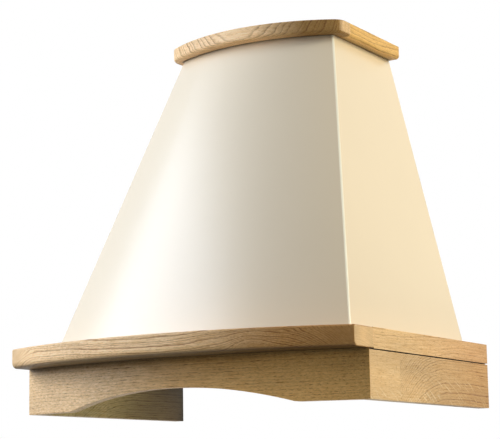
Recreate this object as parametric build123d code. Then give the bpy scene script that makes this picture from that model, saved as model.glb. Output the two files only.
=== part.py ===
from build123d import *

import os
from dataclasses import dataclass
from math import cos, radians, sin, sqrt

# A wall-hung dome cooker hood: a bowed sheet steel dome between an oak crown and an oak ledge, with an
# arched oak apron below. Millimetres. X runs along the wall, the wall is the plane Y = 0, and the front
# faces -Y. Heights are measured from the apron's bottom edge while the parts are drawn, and the finished
# parts are lowered so that the origin is the middle of the four wall fixings.

# ---- Ledge ----
WIDTH = 600.0
LEDGE_DEPTH = 444.0
LEDGE_BOW = 67.0
LEDGE_THICKNESS = 30.0
LEDGE_SIDE_RAIL = 64.0
LEDGE_FRONT_RAIL = 56.0
LEDGE_TOP_ROUND = 3.5
LEDGE_BOTTOM_ROUND = 9.0
LEDGE_END_ROUND = 2.5

# ---- Apron ----
APRON_HEIGHT = 70.0
APRON_SETBACK = 42.0
APRON_BOW = 51.0
APRON_BOARD = 18.0
ARCH_SPAN = 394.0
ARCH_RISE = 26.5
SHADOW_GAP = 1.8
SHADOW_DEPTH = 4.0
GLUE_BLOCK = 24.0
GLUE_BLOCK_RELIEF = 6.0
ARRIS = 0.8
APRON_DOWEL_MARGIN = 60.0

# ---- Dome ----
DOME_HEIGHT = 488.5
DOME_SIDE_MARGIN = 39.5
DOME_FRONT_MARGIN = 63.0
DOME_BASE_BOW = 58.0
DOME_TOP_WIDTH = 286.0
DOME_TOP_DEPTH = 193.0
DOME_TOP_BOW = 35.0
SHEET = 1.0
DOME_BEND = 4.5
CORNER_LEG = 10.0
WELD_LAP = 12.0
BASE_FLANGE = 14.0
TOP_FLANGE = 12.0
BACK_FLANGE = 15.0
BASE_SCREW_MARGIN = 60.0

# ---- Crown ----
CROWN_THICKNESS = 22.0
CROWN_SIDE_OVERHANG = 19.5
CROWN_FRONT_OVERHANG = 6.0
CROWN_BOW = 50.5
CROWN_SIDE_RAIL = 32.5
CROWN_FRONT_RAIL = 27.0
CROWN_CORNER = 24.0
CROWN_BOTTOM_ROUND = 5.5
CROWN_TOP_ROUND = 2.0
CROWN_SCREW_MARGIN = 40.0

# ---- Wall fixings ----
FIXING_SPACING_X = 230.0
FIXING_SPACING_Z = 200.0
FIXING_DROP = 58.5
FIXING_RADIUS = 4.5
HANGER_WIDTH = 34.0
HANGER_THICKNESS = 2.0

# ---- Base pan ----
PAN_RECESS = 5.0
PAN_WALL = 20.0
FIT = 0.5
PAN_FRONT_STRIP = 74.0
PAN_REAR_STRIP = 26.0
PAN_SIDE_STRIP = 10.0
PAN_MIDDLE_BAR = 14.0
PAN_SCREW_MARGIN = 90.0

# ---- Filters ----
FILTER_THICKNESS = 9.0
FILTER_FRAME = 12.0
FILTER_SKIN = 1.5
FILTER_GAP = 0.8
FILTER_REAR_GAP = 2.0
TAB_WIDTH = 16.0
TAB_REACH = 6.0
TAB_THICKNESS = 1.2
TAB_LIFT = 0.3
TAB_BEAD = 0.9
TAB_BEAD_LIFT = 0.5
PULL_WIDTH = 46.0
PULL_DROP = 14.0
PULL_WIRE = 1.5
PULL_CORNER = 6.0
CLIP_SHEET = 0.5
CLIP_HEIGHT = 5.0

# ---- Lamps ----
LAMP_INSET = 62.0
LAMP_RADIUS = 27.0
LAMP_BEZEL_RADIUS = 33.0
LAMP_BEZEL_THICKNESS = 1.6
LAMP_LENS_THICKNESS = 2.5
LAMP_HOUSING_HEIGHT = 17.0
LAMP_HOUSING_WALL = 1.5
LAMP_NECK_WALL = 2.0
LAMP_NECK_HEIGHT = 5.0
LAMP_GLASS_PLAY = 0.3
LAMP_HOLDER_RADIUS = 9.0
LAMP_HOLDER_DROP = 5.0

# ---- Controls ----
BUTTON_COUNT = 5
BUTTON_PITCH = 22.0
BUTTON_WIDTH = 14.0
BUTTON_DEPTH = 9.0
BUTTON_PROUD = 3.0
BUTTON_TRAVEL = 2.5
BUTTON_STEM = 4.0
BUTTON_STEM_LENGTH = 6.5
BUTTON_GAP = 0.4
BUTTON_ROUND = 0.8
FASCIA_MARGIN = 8.0
FASCIA_THICKNESS = 2.0
FASCIA_CORNER = 4.0
SWITCH_BLOCK_HEIGHT = 16.0
SWITCH_BLOCK_MARGIN = 3.0

# ---- Blower ----
IMPELLER_RADIUS = 85.0
IMPELLER_WIDTH = 148.0
BLADE_COUNT = 36
BLADE_DEPTH = 15.0
BLADE_THICKNESS = 1.2
BLADE_ANGLE = 35.0
RING_THICKNESS = 2.4
HUB_RADIUS = 14.0
HUB_LENGTH = 16.0
CUTOFF_GAP = 7.0
SCROLL_STEP = 16.0
HOUSING_WALL = 2.5
HOUSING_SIDE_GAP = 8.5
HOUSING_LUG = 6.0
HOUSING_FLANGE = 12.0
HOUSING_FLANGE_THICKNESS = 3.0
BLOWER_WALL_GAP = 30.0
CROWN_CLEARANCE = 1.5
BLOWER_AXIS_HEIGHT = 230.0
MOTOR_RADIUS = 44.0
MOTOR_START = 8.0
MOTOR_BOSS_RADIUS = 20.0
MOTOR_BOSS_LENGTH = 3.5
SHAFT_RADIUS = 4.0
SHAFT_CLEARANCE = 0.05
SHAFT_END_GAP = 1.0
PRESS_PLAY = 0.02
BRACKET_THICKNESS = 2.0
BRACKET_ARM = 14.0
BRACKET_ARMS = 3

# ---- Outlet ----
SPIGOT_RADIUS = 59.5
SPIGOT_WALL = 2.5
SPIGOT_HEIGHT = 43.0
SPIGOT_FLANGE_THICKNESS = 3.0
FLAP_GAP = 1.2
FLAP_THICKNESS = 1.2
FLAP_HEIGHT = 12.0
PIN_RADIUS = 1.5
PIN_CLEARANCE = 0.06
PIN_SEAT = 1.6
KNUCKLE_RADIUS = 3.2
KNUCKLE_COUNT = 5
KNUCKLE_GAP = 0.4

# ---- Electrical pieces ----
GLAND_RADIUS = 8.0
GLAND_BORE = 3.6
GLAND_THREAD = 6.0
GLAND_NUT_RADIUS = 9.0
GLAND_CHAMFER = 2.0
GLAND_BODY = 9.0
GLAND_NUT = 5.0
TERMINAL_WIDTH = 60.0
TERMINAL_DEPTH = 28.0
TERMINAL_HEIGHT = 90.0
TERMINAL_CORNER = 3.5
TERMINAL_LID = 1.0
TERMINAL_LID_MARGIN = 2.0
TERMINAL_LIFT = 45.0
CAPACITOR_RADIUS = 15.0
CAPACITOR_LENGTH = 62.0
CAPACITOR_LIFT = 31.0
CAPACITOR_ROUND = 2.0

# ---- Fasteners ----
DOWEL_RADIUS = 4.0
DOWEL_LENGTH = 38.0
DOWEL_PLAY = 0.1
THREAD_PLAY = 0.05
HOLE_PLAY = 0.5
WOOD_SCREW_RADIUS = 1.9
WOOD_SCREW_LENGTH = 14.0
WOOD_SCREW_HEAD = 4.2
WOOD_SCREW_HEAD_HEIGHT = 2.4
PLATE_SCREW_RADIUS = 1.6
PLATE_SCREW_LENGTH = 6.5
PLATE_SCREW_HEAD = 3.4
PLATE_SCREW_HEAD_HEIGHT = 2.0
HOUSING_SCREW_RADIUS = 1.4
HOUSING_SCREW_LENGTH = 13.0
HOUSING_SCREW_HEAD = 2.8
HOUSING_SCREW_HEAD_HEIGHT = 1.8
SCREW_HEAD_ROUND = 0.8
HANGER_CORNER = 7.0
CUT = 1.0

# ---- Heights ----
LEDGE_Z = APRON_HEIGHT
DOME_Z = LEDGE_Z + LEDGE_THICKNESS
CROWN_Z = DOME_Z + DOME_HEIGHT
TOP_Z = CROWN_Z + CROWN_THICKNESS
PLATE_Z = CROWN_Z - 2 * SHEET
PAN_Z = LEDGE_Z + PAN_RECESS
PAN_TOP = PAN_Z + SHEET
FIXING_Z = CROWN_Z - FIXING_DROP - FIXING_SPACING_Z / 2
FAR = 2 * WIDTH


@dataclass
class Bow:
    """A plan outline with its back on the wall, straight sides and a bowed front."""

    half_width: float
    depth: float
    bow: float

    @property
    def radius(self):
        return (self.half_width**2 + self.bow**2) / (2 * self.bow)

    def front(self, x):
        """Depth of the bowed front at one place across the width."""
        return self.depth + self.bow - self.radius + sqrt(self.radius**2 - x**2)

    def inset(self, wall):
        """The same outline moved inwards by one wall thickness."""
        half_width = self.half_width - wall
        radius = self.radius - wall
        depth = self.depth + self.bow - self.radius + sqrt(radius**2 - half_width**2)
        return Bow(half_width, depth, self.depth + self.bow - wall - depth)

    def face(self, z, corner=0.0, back=0.0):
        """The outline as a flat face at one height, with rounded front corners if wanted."""
        right = (self.half_width, -self.depth)
        left = (-self.half_width, -self.depth)
        nose = (0, -(self.depth + self.bow))
        edges = [
            Line((self.half_width, -back), right),
            ThreePointArc(right, nose, left),
            Line(left, (-self.half_width, -back)),
            Line((-self.half_width, -back), (self.half_width, -back)),
        ]
        outline = make_face(edges)
        if corner:
            outline = fillet(outline.vertices().group_by(Axis.Y)[0], corner)
        return Pos(0, 0, z) * outline


LEDGE = Bow(WIDTH / 2, LEDGE_DEPTH, LEDGE_BOW)
APRON = Bow(WIDTH / 2, LEDGE_DEPTH - APRON_SETBACK, APRON_BOW)
DOME_BASE = Bow(WIDTH / 2 - DOME_SIDE_MARGIN, LEDGE_DEPTH - DOME_FRONT_MARGIN, DOME_BASE_BOW)
DOME_TOP = Bow(DOME_TOP_WIDTH / 2, DOME_TOP_DEPTH, DOME_TOP_BOW)
CROWN = Bow(DOME_TOP.half_width + CROWN_SIDE_OVERHANG, DOME_TOP_DEPTH + CROWN_FRONT_OVERHANG, CROWN_BOW)

# The ledge's rails leave an opening that the pan fills.
OPENING_X = WIDTH / 2 - LEDGE_SIDE_RAIL
OPENING_Y = LEDGE_DEPTH - LEDGE_FRONT_RAIL
PAN_X = OPENING_X - FIT
PAN_Y = OPENING_Y - FIT
STRIP_Y = PAN_Y - PAN_FRONT_STRIP / 2

# The crown's rails leave an opening for the duct and its cover.
CROWN_OPENING_X = CROWN.half_width - CROWN_SIDE_RAIL
CROWN_OPENING_Y = CROWN.depth - CROWN_FRONT_RAIL

# The blower housing: quarter arcs about the corners of a square round the impeller's axis.
HOUSING_X = IMPELLER_WIDTH / 2 + HOUSING_SIDE_GAP
FIRST_RADIUS = IMPELLER_RADIUS + CUTOFF_GAP
LAST_RADIUS = FIRST_RADIUS + 3 * SCROLL_STEP
AXIS_Y = -BLOWER_WALL_GAP - LAST_RADIUS - SCROLL_STEP / 2
AXIS_Z = DOME_Z + BLOWER_AXIS_HEIGHT
DUCT_BACK = -BLOWER_WALL_GAP
DUCT_FRONT = HOUSING_WALL + HOUSING_FLANGE + CROWN_CLEARANCE - CROWN_OPENING_Y
SPIGOT_Y = (DUCT_BACK + DUCT_FRONT) / 2
SPIGOT_Z = PLATE_Z + SHEET
FLAP_Z = SPIGOT_Z + FLAP_HEIGHT


def box(x0, x1, y0, y1, z0, z1):
    """A box between two opposite corners."""
    middle = ((x0 + x1) / 2, (y0 + y1) / 2, (z0 + z1) / 2)
    return Pos(*middle) * Box(abs(x1 - x0), abs(y1 - y0), abs(z1 - z0))


def rod(radius, start, end):
    """A round rod between two points."""
    axis = Vector(*end) - Vector(*start)
    return Part() + Solid.make_cylinder(radius, axis.length, Plane(origin=start, z_dir=axis))


def upright_hole(radius, x, y, low, high):
    """A round cut along Z that runs a little past both of its ends."""
    return rod(radius, (x, y, low - CUT), (x, y, high + CUT))


def mirrored(positions):
    """Each place on the right, and the same one on the left."""
    return [(side * x, y) for x, y in positions for side in (1, -1)]


def evenly(first, last, count):
    """Places spread evenly between two ends, both included."""
    return [first + (last - first) * step / (count - 1) for step in range(count)]


@dataclass
class Screw:
    """A pan-head screw with a cross recess. It is drawn with its seat at the origin, head up."""

    shank: float
    length: float
    head: float
    head_height: float

    def solid(self):
        top = (Align.CENTER, Align.CENTER, Align.MIN)
        bottom = (Align.CENTER, Align.CENTER, Align.MAX)
        head = Cylinder(self.head, self.head_height, align=top)
        head = fillet(head.edges().group_by(Axis.Z)[-1], SCREW_HEAD_ROUND)
        recess = Pos(0, 0, self.head_height) * Box(self.head, self.head / 5, self.head_height)
        recess += Pos(0, 0, self.head_height) * Box(self.head / 5, self.head, self.head_height)
        return head - recess + Cylinder(self.shank, self.length, align=bottom)

    def group(self, seats):
        """One screw on each seat. A seat is a plane whose normal points out of the head."""
        return Compound(children=[seat.location * self.solid() for seat in seats])

    def holes(self, seats, play):
        """The holes that the screws need in what they hold."""
        drill = rod(self.shank + play, (0, 0, CUT), (0, 0, -self.length - play))
        return [seat.location * drill for seat in seats]


WOOD_SCREW = Screw(WOOD_SCREW_RADIUS, WOOD_SCREW_LENGTH, WOOD_SCREW_HEAD, WOOD_SCREW_HEAD_HEIGHT)
PLATE_SCREW = Screw(PLATE_SCREW_RADIUS, PLATE_SCREW_LENGTH, PLATE_SCREW_HEAD, PLATE_SCREW_HEAD_HEIGHT)
HOUSING_SCREW = Screw(
    HOUSING_SCREW_RADIUS, HOUSING_SCREW_LENGTH, HOUSING_SCREW_HEAD, HOUSING_SCREW_HEAD_HEIGHT
)


def up(x, y, z):
    """A seat with its screw head upwards."""
    return Plane(origin=(x, y, z), z_dir=(0, 0, 1))


def down(x, y, z):
    """A seat with its screw head downwards."""
    return Plane(origin=(x, y, z), z_dir=(0, 0, -1))


# ---- Where the fasteners go ----


def ledge_dowel_axes():
    """Dowels across the joints between the ledge's front and side rails."""
    middle = WIDTH / 2 - LEDGE_SIDE_RAIL / 2
    quarter = LEDGE_SIDE_RAIL / 4
    places = mirrored([(middle - quarter, OPENING_Y), (middle + quarter, OPENING_Y)])
    return [(x, -y, LEDGE_Z + LEDGE_THICKNESS / 2) for x, y in places]


def apron_dowel_places():
    """Upright dowels between the apron boards and the ledge."""
    middle = APRON_BOARD / 2
    front_xs = evenly(-ARCH_SPAN / 2, ARCH_SPAN / 2, 4)
    front = [(x, -(APRON.front(x) - middle)) for x in front_xs]
    side_ys = evenly(APRON_DOWEL_MARGIN - APRON.depth, -APRON_DOWEL_MARGIN, 3)
    side = mirrored([(WIDTH / 2 - middle, y) for y in side_ys])
    return front + side


def crown_dowel_axes():
    """One dowel across each joint of the crown."""
    middle = CROWN.half_width - CROWN_SIDE_RAIL / 2
    return [(side * middle, -CROWN_OPENING_Y, CROWN_Z + CROWN_THICKNESS / 2) for side in (1, -1)]


def dome_base_seats():
    """Screws through the dome's bottom flange into the ledge."""
    row = DOME_BASE.inset(SHEET + BASE_FLANGE / 2)
    side_ys = evenly(BASE_SCREW_MARGIN - row.depth, -BASE_SCREW_MARGIN, 3)
    side = mirrored([(row.half_width, y) for y in side_ys])
    front_end = row.half_width - BASE_SCREW_MARGIN
    front = [(x, -row.front(x)) for x in evenly(-front_end, front_end, 4)]
    return [up(x, y, DOME_Z + SHEET) for x, y in side + front]


def crown_seats():
    """Screws through the top plate and the dome's top flange into the crown."""
    row = DOME_TOP.inset(2 * SHEET + TOP_FLANGE / 2)
    side_ys = evenly(CROWN_SCREW_MARGIN - row.depth, -CROWN_SCREW_MARGIN, 2)
    side = mirrored([(row.half_width, y) for y in side_ys])
    front = mirrored([(row.half_width / 2, -row.front(row.half_width / 2))])
    return [down(x, y, PLATE_Z) for x, y in side + front]


def pan_seats():
    """Screws through the pan's upright walls into the ledge's rails."""
    z = PAN_Z + PAN_WALL / 2
    wall = PAN_X - SHEET
    side_ys = evenly(PAN_SCREW_MARGIN - PAN_Y, -PAN_SCREW_MARGIN, 3)
    seats = [Plane(origin=(side * wall, y, z), z_dir=(-side, 0, 0)) for y in side_ys for side in (1, -1)]
    front_xs = evenly(PAN_SCREW_MARGIN - PAN_X, PAN_X - PAN_SCREW_MARGIN, 3)
    return seats + [Plane(origin=(x, -PAN_Y + SHEET, z), z_dir=(0, 1, 0)) for x in front_xs]


def spigot_seats():
    """Screws that hold the spigot and the blower to the top plate."""
    x = HOUSING_X + HOUSING_WALL + HOUSING_FLANGE / 2
    reach = HOUSING_WALL + HOUSING_FLANGE / 2
    ys = (DUCT_BACK + reach, DUCT_FRONT - reach)
    return [up(side * x, y, SPIGOT_Z + SPIGOT_FLANGE_THICKNESS) for y in ys for side in (1, -1)]


def housing_lug_places():
    """Centres, in Y and Z, of the lugs that the housing's halves are screwed through."""
    reach = HOUSING_WALL + HOUSING_LUG / 2
    half = SCROLL_STEP / 2
    places = []
    for centre, radius, angle in (
        ((AXIS_Y - half, AXIS_Z - half), FIRST_RADIUS + SCROLL_STEP, 135),
        ((AXIS_Y + half, AXIS_Z - half), FIRST_RADIUS + 2 * SCROLL_STEP, 225),
        ((AXIS_Y + half, AXIS_Z + half), LAST_RADIUS, 315),
    ):
        along = radius + reach
        places.append((centre[0] + along * cos(radians(angle)), centre[1] + along * sin(radians(angle))))
    places.append((DUCT_FRONT - reach, (AXIS_Z + FIRST_RADIUS + PLATE_Z) / 2 + HOUSING_LUG))
    return places


def housing_seats():
    """Screws through the lugs, with their heads on the left half."""
    return [Plane(origin=(-HOUSING_LUG, y, z), z_dir=(-1, 0, 0)) for y, z in housing_lug_places()]


def bracket_seats():
    """Screws that hold the motor bracket's arms to the right half of the housing."""
    reach = IMPELLER_RADIUS - BLADE_DEPTH / 2
    x = HOUSING_X + HOUSING_WALL + BRACKET_THICKNESS
    seats = []
    for arm in range(BRACKET_ARMS):
        angle = radians(90 + 360 * arm / BRACKET_ARMS)
        origin = (x, AXIS_Y + reach * cos(angle), AXIS_Z + reach * sin(angle))
        seats.append(Plane(origin=origin, z_dir=(1, 0, 0)))
    return seats


# ---- Oak ----


def ledge_front_rail():
    """The bowed front rail, which runs the full width."""
    rail = extrude(LEDGE.face(LEDGE_Z, back=OPENING_Y), LEDGE_THICKNESS)
    bowed = rail.edges().filter_by(GeomType.CIRCLE)
    rail = fillet(bowed.group_by(Axis.Z)[-1], LEDGE_TOP_ROUND)
    bowed = rail.edges().filter_by(GeomType.CIRCLE).filter_by(lambda edge: edge.length > WIDTH / 2)
    rail = fillet(bowed.group_by(Axis.Z)[0], LEDGE_BOTTOM_ROUND)
    ends = rail.edges().filter_by(Axis.Z).group_by(Axis.Y)[0]
    rail = fillet(ends, LEDGE_END_ROUND)
    return rail - dowel_holes() - WOOD_SCREW.holes(dome_base_seats() + pan_seats(), THREAD_PLAY)


def ledge_side_rail(side):
    """A straight side rail between the front rail and the wall."""
    rail = box(side * OPENING_X, side * WIDTH / 2, -OPENING_Y, 0, LEDGE_Z, DOME_Z)
    return rail - dowel_holes() - WOOD_SCREW.holes(dome_base_seats() + pan_seats(), THREAD_PLAY)


def dowel_rods(radius, half_length):
    """Rods on every dowel axis."""
    def across(x, y, z):
        return rod(radius, (x, y - half_length, z), (x, y + half_length, z))

    def upright(x, y):
        return rod(radius, (x, y, LEDGE_Z - half_length), (x, y, LEDGE_Z + half_length))

    return {
        "ledge": [across(*axis) for axis in ledge_dowel_axes()],
        "apron": [upright(*place) for place in apron_dowel_places()],
        "crown": [across(*axis) for axis in crown_dowel_axes()],
    }


def dowels(place):
    """The dowels of one joint line."""
    return Compound(children=dowel_rods(DOWEL_RADIUS, DOWEL_LENGTH / 2)[place])


def dowel_holes():
    """The holes for every dowel."""
    rods = dowel_rods(DOWEL_RADIUS + DOWEL_PLAY, DOWEL_LENGTH / 2 + CUT)
    return [hole for group in rods.values() for hole in group]


def apron_boards():
    """The bowed front board and the two side boards, mitred at the corners."""
    inner = APRON.inset(APRON_BOARD)
    ring = extrude(APRON.face(0, ARRIS) - inner.face(0), APRON_HEIGHT)
    run = (APRON.half_width - inner.half_width, APRON.depth - inner.depth)
    past = 3
    corner = (inner.half_width + past * run[0], inner.depth + past * run[1])
    front_plan = make_face(
        Polyline(
            (inner.half_width, -inner.depth),
            (corner[0], -corner[1]),
            (corner[0], -FAR),
            (-corner[0], -FAR),
            (-corner[0], -corner[1]),
            (-inner.half_width, -inner.depth),
            close=True,
        )
    )
    front_zone = extrude(front_plan, APRON_HEIGHT)
    holes = dowel_holes()
    front = (ring & front_zone) - arch() - holes
    sides = ring - front_zone - holes
    return front, side_board(sides, 1), side_board(sides, -1)


def side_board(sides, side):
    """One side board, with the narrow shadow gap under the ledge."""
    board = sides & box(0, side * FAR, -FAR, 0, 0, APRON_HEIGHT)
    face = side * WIDTH / 2
    groove = box(face - side * SHADOW_DEPTH, face + side * CUT, -FAR, CUT, LEDGE_Z - SHADOW_GAP, LEDGE_Z)
    return board - groove


def arch():
    """The shallow arch cut from the front board's lower edge."""
    half = ARCH_SPAN / 2
    curve = [
        ThreePointArc((-half, 0), (0, ARCH_RISE), (half, 0)),
        Polyline((half, 0), (half, -CUT), (-half, -CUT), (-half, 0)),
    ]
    return extrude(Plane.XZ * make_face(curve), FAR)


def glue_block(side):
    """A triangular block glued into the apron's front corner."""
    inner = APRON.inset(APRON_BOARD)
    x = side * inner.half_width
    legs = Polyline(
        (x, -inner.depth), (x, -inner.depth + GLUE_BLOCK), (x - side * GLUE_BLOCK, -inner.depth), close=True
    )
    return extrude(make_face(legs), APRON_HEIGHT - GLUE_BLOCK_RELIEF) & box(
        -FAR, FAR, -FAR, 0, GLUE_BLOCK_RELIEF, APRON_HEIGHT
    )


def crown_rails():
    """The crown's bowed front rail with rounded corners, and its two side rails."""
    block = extrude(CROWN.face(CROWN_Z, corner=CROWN_CORNER), CROWN_THICKNESS)
    outer = block.edges().group_by(Axis.Z)[0].filter_by(lambda edge: edge.center().Y < -CUT)
    block = fillet(outer, CROWN_BOTTOM_ROUND)
    outer = block.edges().group_by(Axis.Z)[-1].filter_by(lambda edge: edge.center().Y < -CUT)
    block = fillet(outer, CROWN_TOP_ROUND)
    front_zone = box(-FAR, FAR, -FAR, -CROWN_OPENING_Y, CROWN_Z, TOP_Z)
    opening = box(-CROWN_OPENING_X, CROWN_OPENING_X, -CROWN_OPENING_Y, 0, CROWN_Z, TOP_Z)
    cuts = dowel_holes() + WOOD_SCREW.holes(crown_seats(), THREAD_PLAY)
    front = (block & front_zone) - cuts
    sides = block - front_zone - opening - cuts
    left = sides & box(-FAR, 0, -FAR, 0, CROWN_Z, TOP_Z)
    right = sides & box(0, FAR, -FAR, 0, CROWN_Z, TOP_Z)
    return front, left, right


# ---- Dome ----


def dome_at(height):
    """The dome's outer outline at a height above its base."""
    share = height / DOME_HEIGHT
    values = zip(
        (DOME_BASE.half_width, DOME_BASE.depth, DOME_BASE.bow),
        (DOME_TOP.half_width, DOME_TOP.depth, DOME_TOP.bow),
    )
    return Bow(*[low + (high - low) * share for low, high in values])


def dome_block(low, high, inset, corner):
    """The solid inside the dome's outline, between two heights above its base."""
    faces = [dome_at(h).inset(inset).face(DOME_Z + h, corner) for h in (low, high)]
    return loft(faces, ruled=True)


def corner_zone(leg):
    """Everything in front of the line that lies behind the dome's front corners."""
    back_low = -(DOME_BASE.depth - leg)
    back_high = -(DOME_TOP.depth - leg)
    outline = Polyline((back_low, DOME_Z), (back_high, CROWN_Z), (-FAR, CROWN_Z), (-FAR, DOME_Z), close=True)
    return extrude(Plane.YZ * make_face(outline), FAR, both=True)


def dome_panels():
    """The bowed front panel with folded corners, and the two flat side panels."""
    shell = dome_block(0, DOME_HEIGHT, 0, DOME_BEND) - dome_block(0, DOME_HEIGHT, SHEET, DOME_BEND - SHEET)
    under = SHEET / 2
    base = dome_block(0, SHEET, under, DOME_BEND) - dome_block(0, SHEET, BASE_FLANGE, DOME_BEND)
    cover_low = DOME_HEIGHT - SHEET
    cover = dome_block(cover_low, DOME_HEIGHT, under, DOME_BEND)
    cover -= dome_block(cover_low, DOME_HEIGHT, TOP_FLANGE, DOME_BEND)
    behind = box(-FAR, FAR, -BACK_FLANGE - 2 * SHEET, 0, DOME_Z, CROWN_Z)
    shell += base + cover - behind
    front_zone = corner_zone(CORNER_LEG)
    lap = dome_block(2 * SHEET, DOME_HEIGHT - 3 * SHEET, SHEET, DOME_BEND - SHEET)
    lap -= dome_block(2 * SHEET, DOME_HEIGHT - 3 * SHEET, 2 * SHEET, DOME_BEND - SHEET)
    lap = (lap & corner_zone(CORNER_LEG + WELD_LAP)) - corner_zone(CORNER_LEG / 2)
    cuts = WOOD_SCREW.holes(dome_base_seats() + crown_seats(), HOLE_PLAY)
    front = (shell & front_zone) + lap - cuts
    sides = shell - front_zone - cuts
    left = sides & box(-FAR, 0, -FAR, 0, DOME_Z, CROWN_Z)
    right = sides & box(0, FAR, -FAR, 0, DOME_Z, CROWN_Z)
    return front, left, right


def back_panel():
    """The galvanised back with its side flanges folded forwards along the side panels."""
    block = extrude(back_face(SHEET), BACK_FLANGE)
    core = Pos(0, -SHEET, 0) * extrude(back_face(2 * SHEET), BACK_FLANGE)
    return block - core - fixing_holes()


def back_face(inset):
    """The dome's outline seen from behind, with its sloping sides moved inwards."""
    low = DOME_BASE.half_width - inset
    high = DOME_TOP.half_width - inset
    outline = Polyline((-low, DOME_Z), (low, DOME_Z), (high, CROWN_Z), (-high, CROWN_Z), close=True)
    return Plane.XZ * make_face(outline)


def fixing_places():
    """The four wall fixings."""
    xs = (-FIXING_SPACING_X / 2, FIXING_SPACING_X / 2)
    zs = (FIXING_Z - FIXING_SPACING_Z / 2, FIXING_Z + FIXING_SPACING_Z / 2)
    return [(x, z) for x in xs for z in zs]


def fixing_holes():
    """The holes for the wall screws."""
    depth = SHEET + HANGER_THICKNESS + CUT
    return [rod(FIXING_RADIUS, (x, CUT, z), (x, -depth, z)) for x, z in fixing_places()]


def hanger_plates():
    """Two stiff plates behind the wall fixing holes."""
    half = HANGER_WIDTH / 2
    height = FIXING_SPACING_Z / 2 + HANGER_WIDTH / 2
    front = -SHEET - HANGER_THICKNESS
    plates = []
    for x in (FIXING_SPACING_X / 2, -FIXING_SPACING_X / 2):
        plate = box(x - half, x + half, front, -SHEET, FIXING_Z - height, FIXING_Z + height)
        plates.append(fillet(plate.edges().filter_by(Axis.Y), HANGER_CORNER) - fixing_holes())
    return Compound(children=plates)


def top_plate():
    """The plate under the dome's top flange, which carries the blower and the spigot."""
    outline = dome_at(DOME_HEIGHT - SHEET).inset(2 * SHEET + FIT)
    plate = extrude(outline.face(PLATE_Z, DOME_BEND, back=SHEET), SHEET)
    spigot_bore = upright_hole(SPIGOT_RADIUS - SPIGOT_WALL, 0, SPIGOT_Y, PLATE_Z, SPIGOT_Z)
    gland_hole = upright_hole(GLAND_THREAD + THREAD_PLAY, gland_x(), SPIGOT_Y, PLATE_Z, SPIGOT_Z)
    cuts = WOOD_SCREW.holes(crown_seats(), HOLE_PLAY) + PLATE_SCREW.holes(spigot_seats(), THREAD_PLAY)
    return plate - spigot_bore - gland_hole - cuts


def gland_x():
    """The gland stands between the spigot's flange and the crown's right rail."""
    flange = HOUSING_X + HOUSING_WALL + HOUSING_FLANGE
    return (flange + CROWN_OPENING_X) / 2


# ---- Pan, filters, lamps and controls ----


def filter_opening(side):
    """One filter's opening in the pan: its limits in X and Y."""
    inner = PAN_MIDDLE_BAR / 2
    outer = PAN_X - PAN_SIDE_STRIP
    return side * inner, side * outer, -(PAN_Y - PAN_FRONT_STRIP), -PAN_REAR_STRIP


def lamp_places():
    """The two lamps in the pan's front strip."""
    return mirrored([(PAN_X - LAMP_INSET, -STRIP_Y)])


def button_xs():
    """The push buttons, side by side about the middle."""
    reach = BUTTON_PITCH * (BUTTON_COUNT - 1) / 2
    return evenly(-reach, reach, BUTTON_COUNT)


def fascia_size():
    """Half of the fascia's width and depth."""
    half_width = BUTTON_PITCH * (BUTTON_COUNT - 1) / 2 + BUTTON_WIDTH / 2 + FASCIA_MARGIN
    return half_width, BUTTON_DEPTH / 2 + FASCIA_MARGIN


def base_pan():
    """The tray in the ledge's opening that carries filters, lamps and controls."""
    pan = box(-PAN_X, PAN_X, -PAN_Y, 0, PAN_Z, PAN_Z + PAN_WALL)
    pan -= box(SHEET - PAN_X, PAN_X - SHEET, SHEET - PAN_Y, -SHEET, PAN_TOP, PAN_Z + PAN_WALL + CUT)
    for side in (1, -1):
        x0, x1, y0, y1 = filter_opening(side)
        pan -= box(x0, x1, y0, y1, PAN_Z - CUT, PAN_TOP + CUT)
    neck = LAMP_RADIUS + LAMP_NECK_WALL + FIT
    pan -= [upright_hole(neck, x, y, PAN_Z, PAN_TOP) for x, y in lamp_places()]
    half_width, half_depth = fascia_size()
    half_width -= FASCIA_MARGIN / 2
    half_depth -= FASCIA_MARGIN / 2
    front, rear = -STRIP_Y - half_depth, -STRIP_Y + half_depth
    pan -= box(-half_width, half_width, front, rear, PAN_Z - CUT, PAN_TOP + CUT)
    return pan - WOOD_SCREW.holes(pan_seats(), HOLE_PLAY)


def filter_limits(side):
    """A filter's body inside its opening: low and high X, front and rear Y."""
    x0, x1, y0, y1 = filter_opening(side)
    low, high = sorted((x0, x1))
    return low + FILTER_GAP, high - FILTER_GAP, y0 + FILTER_GAP, y1 - FILTER_REAR_GAP


def filter_window(side):
    """The filter frame's window: low and high X, front and rear Y."""
    x0, x1, y0, y1 = filter_limits(side)
    return x0 + FILTER_FRAME, x1 - FILTER_FRAME, y0 + FILTER_FRAME, y1 - FILTER_FRAME


def filter_frame(side):
    """A channel frame with two beaded tabs that hook over the pan behind it."""
    x0, x1, y0, y1 = filter_limits(side)
    w0, w1, v0, v1 = filter_window(side)
    top = PAN_Z + FILTER_THICKNESS
    frame = box(x0, x1, y0, y1, PAN_Z, top) - box(w0, w1, v0, v1, PAN_Z - CUT, top + CUT)
    frame -= filter_pocket(side)
    low = PAN_TOP + TAB_LIFT
    rear = filter_opening(side)[3] + TAB_REACH
    half = TAB_WIDTH / 2
    for x in evenly(x0 + 2 * TAB_WIDTH, x1 - 2 * TAB_WIDTH, 2):
        frame += box(x - half, x + half, y1 - FILTER_SKIN, rear, low, low + TAB_THICKNESS)
        frame += rod(TAB_BEAD, (x - half, *filter_axis(side)), (x + half, *filter_axis(side)))
    return frame


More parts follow.
